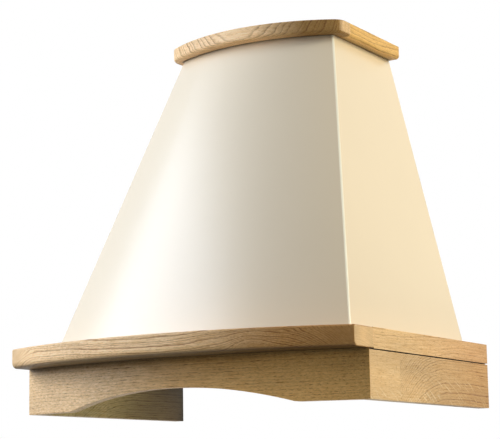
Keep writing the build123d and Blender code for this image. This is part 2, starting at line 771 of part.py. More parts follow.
def filter_axis(side):
    """The line, in Y and Z, that a filter swings about: the middle of the gap behind it."""
    return filter_opening(side)[3] - FILTER_REAR_GAP / 2, PAN_TOP + TAB_BEAD_LIFT


def filter_pocket(side):
    """The channel that holds the mesh pack inside the frame."""
    w0, w1, v0, v1 = filter_window(side)
    grip = FILTER_FRAME / 2
    low = PAN_Z + FILTER_SKIN
    high = PAN_Z + FILTER_THICKNESS - FILTER_SKIN
    return box(w0 - grip, w1 + grip, v0 - grip, v1 + grip, low, high)


def filter_pull(side):
    """A bent wire pull under the filter's front rail."""
    x0, x1, y0, y1 = filter_limits(side)
    x = (x0 + x1) / 2
    y = y0 + FILTER_FRAME / 2
    half = PULL_WIDTH / 2
    low = PAN_Z - PULL_DROP
    corners = [(x - half, y, PAN_Z), (x - half, y, low), (x + half, y, low), (x + half, y, PAN_Z)]
    path = FilletPolyline(*corners, radius=PULL_CORNER)
    start = Plane(origin=corners[0], z_dir=(0, 0, -1))
    return sweep(start * Circle(PULL_WIRE), path=path)


def filter_clips(side):
    """Two spring clips on the filter's front rail that grip the pan's edge."""
    x0, x1, y0, y1 = filter_limits(side)
    top = PAN_Z + FILTER_THICKNESS
    clips = []
    for x in evenly(x0 + 2 * TAB_WIDTH, x1 - 2 * TAB_WIDTH, 2):
        half = TAB_WIDTH / 2
        foot = box(x - half, x + half, y0, y0 + FILTER_FRAME, top, top + CLIP_SHEET)
        leaf = box(x - half, x + half, y0, y0 + CLIP_SHEET, top + CLIP_SHEET, top + CLIP_HEIGHT)
        clips.append(foot + leaf)
    return Compound(children=clips)


def lamp_bezel(x, y):
    """A ring under the pan with a neck through it."""
    bottom = PAN_Z - LAMP_BEZEL_THICKNESS
    neck_top = PAN_TOP + LAMP_NECK_HEIGHT
    outer = rod(LAMP_BEZEL_RADIUS, (x, y, bottom), (x, y, PAN_Z))
    edges = outer.edges().group_by(Axis.Z)[0]
    outer = fillet(edges, LAMP_BEZEL_THICKNESS / 2)
    outer += rod(LAMP_RADIUS + LAMP_NECK_WALL, (x, y, PAN_Z), (x, y, neck_top))
    outer -= rod(LAMP_RADIUS, (x, y, PAN_Z), (x, y, neck_top + CUT))
    return outer - upright_hole(LAMP_RADIUS - LAMP_NECK_WALL, x, y, bottom, PAN_Z)


def lamp_lens(x, y):
    """The round glass that lies in the bezel."""
    return rod(LAMP_RADIUS - LAMP_GLASS_PLAY, (x, y, PAN_Z), (x, y, PAN_Z + LAMP_LENS_THICKNESS))


def lamp_housing(x, y):
    """The lamp's cup above the pan, round the bezel's neck, with a lamp holder inside."""
    inner = LAMP_RADIUS + LAMP_NECK_WALL + FIT
    top = PAN_TOP + LAMP_HOUSING_HEIGHT
    cup = rod(inner + LAMP_HOUSING_WALL, (x, y, PAN_TOP), (x, y, top))
    cup -= rod(inner, (x, y, PAN_Z), (x, y, top - LAMP_HOUSING_WALL))
    holder = rod(LAMP_HOLDER_RADIUS, (x, y, top - LAMP_HOUSING_WALL - LAMP_HOLDER_DROP), (x, y, top))
    return cup + holder


def control_fascia():
    """The plate under the pan with one window for each button."""
    half_width, half_depth = fascia_size()
    low = PAN_Z - FASCIA_THICKNESS
    plate = box(-half_width, half_width, -STRIP_Y - half_depth, -STRIP_Y + half_depth, low, PAN_Z)
    plate = fillet(plate.edges().filter_by(Axis.Z), FASCIA_CORNER)
    for x in button_xs():
        plate -= button_window(x, low - CUT, PAN_Z + CUT)
    return plate


def button_window(x, low, high):
    """The space that a button's cap slides in."""
    half_width = BUTTON_WIDTH / 2 + BUTTON_GAP
    half_depth = BUTTON_DEPTH / 2 + BUTTON_GAP
    return box(x - half_width, x + half_width, -STRIP_Y - half_depth, -STRIP_Y + half_depth, low, high)


def push_button(x):
    """A cap with a stem above it."""
    low = PAN_Z - FASCIA_THICKNESS - BUTTON_PROUD
    half_width = BUTTON_WIDTH / 2
    half_depth = BUTTON_DEPTH / 2
    cap = box(x - half_width, x + half_width, -STRIP_Y - half_depth, -STRIP_Y + half_depth, low, PAN_TOP)
    cap = fillet(cap.edges().group_by(Axis.Z)[0], BUTTON_ROUND)
    stem = rod(BUTTON_STEM / 2, (x, -STRIP_Y, PAN_TOP), (x, -STRIP_Y, PAN_TOP + BUTTON_STEM_LENGTH))
    return cap + stem


def switch_block():
    """The switch body above the pan, with a pocket for each button."""
    half_width, half_depth = fascia_size()
    half_width += SWITCH_BLOCK_MARGIN
    half_depth += SWITCH_BLOCK_MARGIN
    top = PAN_TOP + SWITCH_BLOCK_HEIGHT
    block = box(-half_width, half_width, -STRIP_Y - half_depth, -STRIP_Y + half_depth, PAN_TOP, top)
    for x in button_xs():
        block -= button_window(x, PAN_TOP - CUT, PAN_TOP + BUTTON_TRAVEL + BUTTON_GAP)
        stem_top = PAN_TOP + BUTTON_TRAVEL + BUTTON_STEM_LENGTH + BUTTON_GAP
        block -= rod(BUTTON_STEM / 2 + BUTTON_GAP, (x, -STRIP_Y, PAN_TOP), (x, -STRIP_Y, stem_top))
    return block


# ---- Blower ----


def scroll_face(grow):
    """The housing's outline in the plane X = 0, moved outwards by a distance."""
    half = SCROLL_STEP / 2
    low_y, high_y = AXIS_Y - half, AXIS_Y + half
    low_z, high_z = AXIS_Z - half, AXIS_Z + half
    radii = [FIRST_RADIUS + step * SCROLL_STEP + grow for step in range(4)]
    front = DUCT_FRONT - grow
    back = DUCT_BACK + grow

    def arc(y, z, radius, start):
        angles = [radians(start + step) for step in (0, 45, 90)]
        return ThreePointArc(*[(y + radius * cos(angle), z + radius * sin(angle)) for angle in angles])

    tongue_z = high_z + sqrt(radii[0] ** 2 - (front - low_y) ** 2)
    near = ((front + low_y) / 2, high_z + sqrt(radii[0] ** 2 - ((front - low_y) / 2) ** 2))
    edges = [
        Line((front, PLATE_Z), (front, tongue_z)),
        ThreePointArc((front, tongue_z), near, (low_y, high_z + radii[0])),
        arc(low_y, low_z, radii[1], 90),
        arc(high_y, low_z, radii[2], 180),
        arc(high_y, high_z, radii[3], 270),
        Polyline((back, high_z), (back, PLATE_Z), (front, PLATE_Z)),
    ]
    return Plane.YZ * make_face(edges)


def blower_half(side):
    """One half of the housing, split in the plane of its middle."""
    outer = HOUSING_X + HOUSING_WALL
    solid = extrude(scroll_face(HOUSING_WALL), side * outer)
    solid -= extrude(scroll_face(0), side * HOUSING_X)
    inlet = IMPELLER_RADIUS - BLADE_DEPTH
    solid -= rod(inlet, (0, AXIS_Y, AXIS_Z), (side * (outer + CUT), AXIS_Y, AXIS_Z))
    reach = HOUSING_WALL + HOUSING_FLANGE
    low_z = PLATE_Z - HOUSING_FLANGE_THICKNESS
    flange = box(0, side * (outer + HOUSING_FLANGE), DUCT_FRONT - reach, DUCT_BACK + reach, low_z, PLATE_Z)
    flange -= box(0, side * HOUSING_X, DUCT_FRONT, DUCT_BACK, low_z, PLATE_Z)
    solid += flange
    cavity = extrude(scroll_face(0), side * HOUSING_X)
    for y, z in housing_lug_places():
        solid += rod(HOUSING_LUG, (0, y, z), (side * HOUSING_LUG, y, z)) - cavity
    cuts = HOUSING_SCREW.holes(housing_seats(), THREAD_PLAY) + PLATE_SCREW.holes(bracket_seats(), THREAD_PLAY)
    return solid - cuts - PLATE_SCREW.holes(spigot_seats(), THREAD_PLAY)


def motor():
    """The motor's can with its end boss. It hangs inside the right half of the impeller."""
    end = HOUSING_X + HOUSING_WALL - MOTOR_BOSS_LENGTH
    can = rod(MOTOR_RADIUS, (MOTOR_START, AXIS_Y, AXIS_Z), (end, AXIS_Y, AXIS_Z))
    can = fillet(can.edges().filter_by(GeomType.CIRCLE), MOTOR_BOSS_LENGTH)
    can += rod(MOTOR_BOSS_RADIUS, (end, AXIS_Y, AXIS_Z), (end + MOTOR_BOSS_LENGTH, AXIS_Y, AXIS_Z))
    bore = SHAFT_RADIUS + SHAFT_CLEARANCE
    return can - rod(bore, (0, AXIS_Y, AXIS_Z), (end - MOTOR_BOSS_LENGTH, AXIS_Y, AXIS_Z))


def motor_bracket():
    """Three arms from the motor's end to the rim of the housing's right inlet."""
    x0 = HOUSING_X + HOUSING_WALL
    x1 = x0 + BRACKET_THICKNESS
    bracket = rod(MOTOR_BOSS_RADIUS + BRACKET_ARM / 2, (x0, AXIS_Y, AXIS_Z), (x1, AXIS_Y, AXIS_Z))
    for seat in bracket_seats():
        end = Vector(seat.origin)
        bracket += rod(BRACKET_ARM / 2, (x0, end.Y, end.Z), (x1, end.Y, end.Z))
    for arm in range(BRACKET_ARMS):
        strip = box(x0, x1, -BRACKET_ARM / 2, BRACKET_ARM / 2, 0, IMPELLER_RADIUS - BLADE_DEPTH / 2)
        bracket += Pos(0, AXIS_Y, AXIS_Z) * Rot(360 * arm / BRACKET_ARMS, 0, 0) * strip
    return bracket - PLATE_SCREW.holes(bracket_seats(), THREAD_PLAY)


def motor_shaft():
    """The shaft that the impeller turns on with the motor's rotor."""
    end = HOUSING_X + HOUSING_WALL - 2 * MOTOR_BOSS_LENGTH - SHAFT_END_GAP
    return rod(SHAFT_RADIUS, (-HUB_LENGTH, AXIS_Y, AXIS_Z), (end, AXIS_Y, AXIS_Z))


def impeller():
    """A double-inlet fan wheel: hub, centre disc, forward-curved blades and two end rings."""
    half = IMPELLER_WIDTH / 2
    inner = IMPELLER_RADIUS - BLADE_DEPTH
    middle = IMPELLER_RADIUS - BLADE_DEPTH / 2
    blade = Rot(0, 0, BLADE_ANGLE) * Rectangle(BLADE_DEPTH, BLADE_THICKNESS)
    turns = [Rot(0, 0, 360 * count / BLADE_COUNT) for count in range(BLADE_COUNT)]
    blades = Sketch() + [turn * Pos(middle, 0) * blade for turn in turns]
    wheel = extrude(blades, half - RING_THICKNESS / 2, both=True)
    disc = Cylinder(IMPELLER_RADIUS, RING_THICKNESS)
    ring = disc - Cylinder(inner, RING_THICKNESS)
    rings = [Pos(0, 0, end) * ring for end in (RING_THICKNESS / 2 - half, half - RING_THICKNESS / 2)]
    hub = Pos(0, 0, (RING_THICKNESS - HUB_LENGTH) / 2) * Cylinder(HUB_RADIUS, HUB_LENGTH)
    bore = Cylinder(SHAFT_RADIUS + PRESS_PLAY, 2 * IMPELLER_WIDTH)
    wheel = wheel + disc + rings + hub - bore
    return Pos(0, AXIS_Y, AXIS_Z) * Rot(0, 90, 0) * wheel


# ---- Outlet ----


def outlet_spigot():
    """The round collar for the duct on its rectangular flange."""
    x = HOUSING_X + HOUSING_WALL + HOUSING_FLANGE
    reach = HOUSING_WALL + HOUSING_FLANGE
    top = SPIGOT_Z + SPIGOT_FLANGE_THICKNESS
    flange = box(-x, x, DUCT_FRONT - reach, DUCT_BACK + reach, SPIGOT_Z, top)
    flange = fillet(flange.edges().filter_by(Axis.Z), HOUSING_FLANGE / 2)
    spigot = flange + rod(SPIGOT_RADIUS, (0, SPIGOT_Y, top), (0, SPIGOT_Y, top + SPIGOT_HEIGHT))
    inner = SPIGOT_RADIUS - SPIGOT_WALL
    spigot -= upright_hole(inner, 0, SPIGOT_Y, SPIGOT_Z, top + SPIGOT_HEIGHT)
    spigot -= pin_rod(PIN_RADIUS + PIN_CLEARANCE)
    return spigot - PLATE_SCREW.holes(spigot_seats(), HOLE_PLAY)


def pin_rod(radius):
    """A rod on the flaps' hinge line, from side to side of the collar."""
    end = SPIGOT_RADIUS - SPIGOT_WALL + PIN_SEAT
    return rod(radius, (-end, SPIGOT_Y, FLAP_Z), (end, SPIGOT_Y, FLAP_Z))


def damper_flap(side):
    """One half-round flap. Its knuckles sit between those of the other flap."""
    radius = SPIGOT_RADIUS - SPIGOT_WALL - FLAP_GAP
    half = FLAP_THICKNESS / 2
    edge = KNUCKLE_RADIUS + KNUCKLE_GAP
    disc = rod(radius, (0, SPIGOT_Y, FLAP_Z - half), (0, SPIGOT_Y, FLAP_Z + half))
    plate = disc & box(-FAR, FAR, SPIGOT_Y + side * edge, SPIGOT_Y + side * FAR, FLAP_Z - half, FLAP_Z + half)
    length = 2 * (radius - edge) / KNUCKLE_COUNT
    for index in range(KNUCKLE_COUNT):
        if (index % 2 == 0) == (side > 0):
            x0 = -radius + edge + index * length + KNUCKLE_GAP / 2
            x1 = x0 + length - KNUCKLE_GAP
            plate += rod(KNUCKLE_RADIUS, (x0, SPIGOT_Y, FLAP_Z), (x1, SPIGOT_Y, FLAP_Z))
            plate += box(x0, x1, SPIGOT_Y, SPIGOT_Y + side * (edge + CUT), FLAP_Z - half, FLAP_Z + half)
    return plate - pin_rod(PIN_RADIUS + PIN_CLEARANCE)


# ---- Electrical pieces ----


def cable_gland():
    """The gland that the supply lead would pass through, with its nut under the top plate."""
    x, y = gland_x(), SPIGOT_Y
    top = SPIGOT_Z + GLAND_BODY
    low = PLATE_Z - GLAND_NUT
    body = rod(GLAND_RADIUS, (x, y, SPIGOT_Z), (x, y, top))
    body = chamfer(body.edges().group_by(Axis.Z)[-1], GLAND_CHAMFER)
    body += rod(GLAND_THREAD, (x, y, low), (x, y, SPIGOT_Z))
    body += Pos(x, y, low) * extrude(RegularPolygon(GLAND_NUT_RADIUS, 6), GLAND_NUT)
    return body - upright_hole(GLAND_BORE, x, y, low, top)


def electric_x():
    """The terminal box and the capacitor stand beside the blower, on the back panel."""
    return HOUSING_X + HOUSING_WALL + HOUSING_FLANGE + TERMINAL_WIDTH / 2


def terminal_box():
    """A lidded plastic box on the back panel, right of the blower."""
    x = electric_x()
    half = TERMINAL_WIDTH / 2
    front = -SHEET - TERMINAL_DEPTH
    low = DOME_Z + TERMINAL_LIFT
    high = low + TERMINAL_HEIGHT
    case = box(x - half, x + half, front, -SHEET, low, high)
    case = fillet(case.edges().filter_by(Axis.Z), TERMINAL_CORNER)
    half -= TERMINAL_LID_MARGIN
    low += TERMINAL_LID_MARGIN
    high -= TERMINAL_LID_MARGIN
    return case + box(x - half, x + half, front - TERMINAL_LID, -SHEET - TERMINAL_CORNER, low, high)


def motor_capacitor():
    """The motor's run capacitor on the back panel, left of the blower."""
    x, y = -electric_x(), -SHEET - CAPACITOR_RADIUS
    low = DOME_Z + CAPACITOR_LIFT
    can = rod(CAPACITOR_RADIUS, (x, y, low), (x, y, low + CAPACITOR_LENGTH))
    return fillet(can.edges().filter_by(GeomType.CIRCLE), CAPACITOR_ROUND)


def all_parts():
    """Every node of the hood by name."""
    parts = {}
    parts["ledge_front_rail"] = ledge_front_rail()
    parts["ledge_left_rail"] = ledge_side_rail(-1)
    parts["ledge_right_rail"] = ledge_side_rail(1)
    boards = apron_boards()
    parts["apron_front_board"], parts["apron_right_board"], parts["apron_left_board"] = boards
    parts["apron_glue_blocks"] = Compound(children=[glue_block(side) for side in (1, -1)])
    rails = crown_rails()
    parts["crown_front_rail"], parts["crown_left_rail"], parts["crown_right_rail"] = rails
    for place in ("ledge", "apron", "crown"):
        parts[place + "_dowels"] = dowels(place)
    panels = dome_panels()
    parts["dome_front_panel"], parts["dome_left_panel"], parts["dome_right_panel"] = panels
    parts["back_panel"] = back_panel()
    parts["hanger_plates"] = hanger_plates()
    parts["top_plate"] = top_plate()
    parts["dome_base_screws"] = WOOD_SCREW.group(dome_base_seats())
    parts["crown_screws"] = WOOD_SCREW.group(crown_seats())
    parts["pan_screws"] = WOOD_SCREW.group(pan_seats())
    parts["base_pan"] = base_pan()
    for name, side in (("left", -1), ("right", 1)):
        parts["filter_%s_frame" % name] = filter_frame(side)
        parts["filter_%s_mesh" % name] = filter_pocket(side)
        parts["filter_%s_pull" % name] = filter_pull(side)
        parts["filter_%s_clips" % name] = filter_clips(side)
    for name, (x, y) in zip(("right", "left"), lamp_places()):
        parts["lamp_%s_bezel" % name] = lamp_bezel(x, y)
        parts["lamp_%s_lens" % name] = lamp_lens(x, y)
        parts["lamp_%s_housing" % name] = lamp_housing(x, y)
    parts["control_fascia"] = control_fascia()
    parts["switch_block"] = switch_block()
    for number, x in enumerate(button_xs(), start=1):
        parts["push_button_%d" % number] = push_button(x)
    parts["blower_left_half"] = blower_half(-1)
    parts["blower_right_half"] = blower_half(1)
    parts["blower_screws"] = HOUSING_SCREW.group(housing_seats())
    parts["motor"] = motor()
    parts["motor_bracket"] = motor_bracket()
    parts["motor_bracket_screws"] = PLATE_SCREW.group(bracket_seats())
    parts["motor_shaft"] = motor_shaft()
    parts["impeller"] = impeller()
    parts["outlet_spigot"] = outlet_spigot()
    parts["spigot_screws"] = PLATE_SCREW.group(spigot_seats())
    parts["damper_pin"] = pin_rod(PIN_RADIUS)
    parts["damper_front_flap"] = damper_flap(-1)
    parts["damper_rear_flap"] = damper_flap(1)
    parts["cable_gland"] = cable_gland()
    parts["terminal_box"] = terminal_box()
    parts["motor_capacitor"] = motor_capacitor()
    return parts


os.makedirs("parts", exist_ok=True)
for name, shape in all_parts().items():
    export_step(Pos(0, 0, -FIXING_Z) * shape, "parts/" + name + ".step")
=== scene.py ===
"""The looks of a wall-hung dome cooker hood with oak mouldings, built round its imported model."""

import logging
import math
from dataclasses import dataclass, replace
from enum import Enum
from functools import partial, reduce
from typing import Any, Optional, Sequence, Union

import bpy
from mathutils import Matrix, Vector


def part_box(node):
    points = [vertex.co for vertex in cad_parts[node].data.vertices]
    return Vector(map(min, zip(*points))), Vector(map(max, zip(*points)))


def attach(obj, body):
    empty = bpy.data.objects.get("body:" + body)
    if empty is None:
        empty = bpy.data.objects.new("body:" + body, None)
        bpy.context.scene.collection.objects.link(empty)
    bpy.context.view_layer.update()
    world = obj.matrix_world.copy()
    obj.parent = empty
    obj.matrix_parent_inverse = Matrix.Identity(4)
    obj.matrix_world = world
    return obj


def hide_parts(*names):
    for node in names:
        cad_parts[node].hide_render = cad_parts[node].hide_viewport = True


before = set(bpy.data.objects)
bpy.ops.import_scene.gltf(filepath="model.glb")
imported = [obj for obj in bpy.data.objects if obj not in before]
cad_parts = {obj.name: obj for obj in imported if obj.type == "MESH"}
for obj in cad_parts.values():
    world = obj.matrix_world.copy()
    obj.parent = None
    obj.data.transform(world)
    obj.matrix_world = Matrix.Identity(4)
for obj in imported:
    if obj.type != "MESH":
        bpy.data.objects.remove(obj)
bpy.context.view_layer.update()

LOG = logging.getLogger("hood")
Colour = tuple[float, float, float]
Triple = tuple[float, float, float]
Socket = bpy.types.NodeSocket
Feed = Union[Socket, float, int, Sequence[float]]
WHITE: Colour = (1.0, 1.0, 1.0)


# ---- Node trees ----


class Sheet:
    """A node tree with short calls for the nodes that the hood's finishes and patterns use."""

    def __init__(self, tree: bpy.types.NodeTree) -> None:
        """Start on an emptied tree.

        Args:
            tree: The shader or geometry tree to fill.
        """
        self.tree = tree
        self.tree.nodes.clear()

    def add(self, kind: str, feeds: Optional[dict[Any, Feed]] = None, **settings: Any) -> bpy.types.Node:
        """Add a node.

        Args:
            kind: The node's type name.
            feeds: What goes into its inputs, by name or number.
            settings: The node's own options.

        Returns:
            The new node.
        """
        node = self.tree.nodes.new(kind)
        for option, value in settings.items():
            setattr(node, option, value)
        for key, value in (feeds or {}).items():
            self.feed(value, node.inputs[key])
        return node

    def feed(self, value: Feed, socket: Socket) -> None:
        """Link a socket to an input, or set the input's own value.

        Args:
            value: A socket, a number or a row of numbers.
            socket: The input.
        """
        if isinstance(value, Socket):
            self.tree.links.new(value, socket)
        elif isinstance(value, tuple) and len(value) == 3 and socket.type == "RGBA":
            socket.default_value = (*value, 1.0)
        else:
            socket.default_value = value

    def sum(self, operation: str, *values: Feed) -> Socket:
        """A Math node's result."""
        return self.add("ShaderNodeMath", dict(enumerate(values)), operation=operation).outputs[0]

    def plus(self, *values: Feed) -> Socket:
        """Values added up in order."""
        return reduce(partial(self.sum, "ADD"), values)

    def times(self, *values: Feed) -> Socket:
        """Values multiplied in order."""
        return reduce(partial(self.sum, "MULTIPLY"), values)

    def less(self, first: Feed, second: Feed) -> Socket:
        """One value less another."""
        return self.sum("SUBTRACT", first, second)

    def vector(self, operation: str, *values: Feed) -> Any:
        """The outputs of a Vector Math node."""
        return self.add("ShaderNodeVectorMath", dict(enumerate(values)), operation=operation).outputs

    def split(self, vector: Feed) -> tuple[Socket, ...]:
        """The X, Y and Z of a vector."""
        return tuple(self.add("ShaderNodeSeparateXYZ", {0: vector}).outputs)

    def join(self, x: Feed, y: Feed, z: Feed) -> Socket:
        """A vector of three values."""
        return self.add("ShaderNodeCombineXYZ", {0: x, 1: y, 2: z}).outputs[0]

    def mix(self, share: Feed, first: Feed, second: Feed, blend: str = "MIX") -> Socket:
        """Two colours mixed.

        Args:
            share: The second colour's share.
            first: The first colour.
            second: The second colour.
            blend: How they are mixed.

        Returns:
            The colour socket.
        """
        node = self.add("ShaderNodeMix", data_type="RGBA", blend_type=blend)
        for value, place in ((share, 0), (first, 6), (second, 7)):
            self.feed(value, node.inputs[place])
        return node.outputs[2]

    def seen(self) -> Socket:
        """1 for what the camera, a reflection or a clear material sees, 0 for the light itself.

        Returns:
            The value socket.
        """
        path = self.add("ShaderNodeLightPath").outputs
        mirrored = self.sum("MAXIMUM", path["Is Glossy Ray"], path["Is Transmission Ray"])
        return self.sum("MAXIMUM", path["Is Camera Ray"], mirrored)


@dataclass(frozen=True)
class Span:
    """The range that a value is in, and the range that it is moved into."""

    low: float
    high: float
    to_low: float = 0.0
    to_high: float = 1.0


USUAL = Span(0.3, 0.7)


@dataclass(frozen=True)
class Cloud:
    """A noise: its waves in a metre along and across the grain, its octaves and its roughness."""

    stretch: Triple
    detail: float = 2.0
    rough: float = 0.5


class Shader(Sheet):
    """A material's tree, which ends in one Principled surface."""

    def __init__(self, name: str) -> None:
        """Make the material.

        Args:
            name: The material's name.
        """
        self.material = bpy.data.materials.new(name)
        self.material.use_nodes = True
        super().__init__(self.material.node_tree)
        self.surface = self.add("ShaderNodeBsdfPrincipled")
        self.out = self.add("ShaderNodeOutputMaterial", {"Surface": self.surface.outputs[0]})
        self.place = self.add("ShaderNodeTexCoord").outputs["Object"]

    def set(self, **values: Feed) -> None:
        """Feed the surface's inputs; an underscore in a name stands for a space."""
        for name, value in values.items():
            self.feed(value, self.surface.inputs[name.replace("_", " ")])

    def stretched(self, vector: Feed, scale: Triple) -> Socket:
        """A vector scaled by a different amount on each axis."""
        return self.vector("MULTIPLY", vector, scale)[0]

    def noise(self, vector: Feed, scale: float, detail: float = 2.0, rough: float = 0.5) -> Socket:
        """Smooth noise from 0 to 1."""
        feeds = {"Vector": vector, "Scale": scale, "Detail": detail, "Roughness": rough}
        return self.add("ShaderNodeTexNoise", feeds).outputs["Fac"]

    def cloud(self, vector: Feed, cloud: Cloud) -> Socket:
        """Smooth noise that is stretched along one axis."""
        return self.noise(self.stretched(vector, cloud.stretch), 1.0, cloud.detail, cloud.rough)

    def facing(self, axis: int, normal: str = "True Normal") -> Socket:
        """How far the surface looks along an axis, from -1 to 1."""
        return self.split(self.add("ShaderNodeNewGeometry").outputs[normal])[axis]

    def spread(self, value: Feed, span: Span) -> Socket:
        """A value moved from one range into another and held inside it."""
        feeds = {0: value, 1: span.low, 2: span.high, 3: span.to_low, 4: span.to_high}
        return self.add("ShaderNodeMapRange", feeds).outputs[0]

    def ramp(self, value: Feed, stops: Sequence[tuple[float, float]]) -> Socket:
        """A grey picked from a row of stops.

        Args:
            value: Where to pick, from 0 to 1.
            stops: Places and greys.

        Returns:
            The colour socket.
        """
        node = self.add("ShaderNodeValToRGB", {0: value})
        elements = node.color_ramp.elements
        while len(elements) < len(stops):
            elements.new(0.5)
        for element, (place, grey) in zip(elements, stops):
            element.position = place
            element.color = (grey, grey, grey, 1.0)
        return node.outputs[0]

    def matt(self, noise: Feed, low: float, high: float) -> None:
        """Let a noise move the roughness between two values."""
        self.set(Roughness=self.spread(noise, replace(USUAL, to_low=low, to_high=high)))

    def tinted(self, colour: Feed, tint: Feed) -> Socket:
        """A colour multiplied by a tint."""
        return self.mix(1.0, colour, tint, "MULTIPLY")

    def bump(self, height: Feed, depth: float, strength: float, normal: Optional[Socket] = None) -> None:
        """Raise the surface by a height.

        Args:
            height: The height, from 0 to 1.
            depth: What a height of 1 is in metres.
            strength: How much of it shows.
            normal: The surface's direction before it, where that isn't the mesh's own.
        """
        feeds = {"Height": height, "Distance": depth, "Strength": strength}
        if normal is not None:
            feeds["Normal"] = normal
        self.set(Normal=self.add("ShaderNodeBump", feeds).outputs[0])


# ---- Finishes ----


@dataclass(frozen=True)
class Finish:
    """A look with the name of its material."""

    name: str

    def fill(self, s: Shader) -> None:
        """Fill the material's tree."""
        raise NotImplementedError


class Grain(Enum):
    """The way that a piece of wood's fibres run."""

    ALONG_X = 0
    ALONG_Y = 1
    ALONG_Z = 2


@dataclass(frozen=True)
class Knot:
    """A place that the growth rings flow round."""

    centre: Triple
    reach: Triple
    push: float


@dataclass(frozen=True)
class Sweep:
    """A stretch at an end of a board where the rings run out of its face."""

    start: float
    strength: float


@dataclass(frozen=True)
class Stave:
    """One of the short boards that a longer one is glued from."""

    start: float
    rings: float = 1.0
    tone: float = 1.0
    rays: float = 0.0


@dataclass(frozen=True)
class ShadeDrift:
    """Painted shade along a board: a slow change of colour from its own to a deeper one."""

    start: float
    end: float
    tint: Colour


@dataclass(frozen=True)
class Flecks:
    """Pale ray flecks that lean and bow across the face of a board."""

    lean: float = 1.2
    bow: float = 14.0
    along: float = 165.0
    across: float = 52.0
    reach: float = 0.052
    colour: Colour = (0.92, 0.72, 0.46)
    share: Span = Span(0.60, 0.66)
    fade: Span = Span(-0.010, 0.004, 1.0, 0.0)
    outer: Span = Span(0.5, 0.8, 0.0, 0.8)


@dataclass(frozen=True)
class Spot:
    """A point of a board: its place along and across the grain, and how far its face is end grain.

    The place in board jumps at each glue joint, so that every stave has its own figure.
    """

    along: Feed
    first: Feed
    second: Feed
    board: Feed
    end: Feed


FLECKS = Flecks()
FIBRE = Cloud((20.0, 520.0, 520.0), 4.0, 0.7)
LONG_PORE = Cloud((60.0, 640.0, 640.0), 1.0)
FINE_PORE = Cloud((170.0, 1100.0, 1100.0), 1.0)
TONE = Cloud((5.0, 22.0, 22.0), 3.0)
FAINT_RINGS = Cloud((7.0, 26.0, 26.0))
SLOW_SWAY = Cloud((3.2, 8.0, 8.0))
QUICK_SWAY = Cloud((16.0, 55.0, 55.0), 3.0)
EARLY_WOOD = ((0.0, 0.55), (0.06, 1.0), (0.18, 0.45), (0.42, 0.12), (0.92, 0.0), (1.0, 0.55))
RINGS_ALIKE, RINGS_APART, UNEVEN_RINGS = 0.8, 0.37, 2.2
STAVE_JUMP = 0.37
FIBRES = Span(0.36, 0.66)
LONG_PORES = Span(0.56, 0.66)
FINE_PORES = Span(0.56, 0.68)
PORES_BY_RING = Span(0.05, 0.5, 0.25, 1.0)
RING_STRENGTH = Span(0.32, 0.68, 0.15, 1.0)
RING_PATCHES = Span(0.30, 0.55, 0.5, 1.0)
TONES = Span(0.28, 0.72, 0.97, 1.25)
CREVICE_PAINTED_SHADE = Span(0.42, 0.94, 0.15, 1.0)
END_FACE = Span(0.80, 0.96)
END_RINGS = Span(0.0, 1.0, 1.0, 0.35)
END_TONE = Span(0.0, 1.0, 1.0, 0.80)
NO_END = Span(0.0, 1.0, 1.0, 0.0)
INNER_FACE = Span(-0.8, -0.4, 1.0, 0.0)
INNER_PAINTED_LIGHT = Span(-0.22, 0.0, 0.45, -0.95)
SHARP_EDGE = Span(0.97, 0.80)
SAMPLES = 6


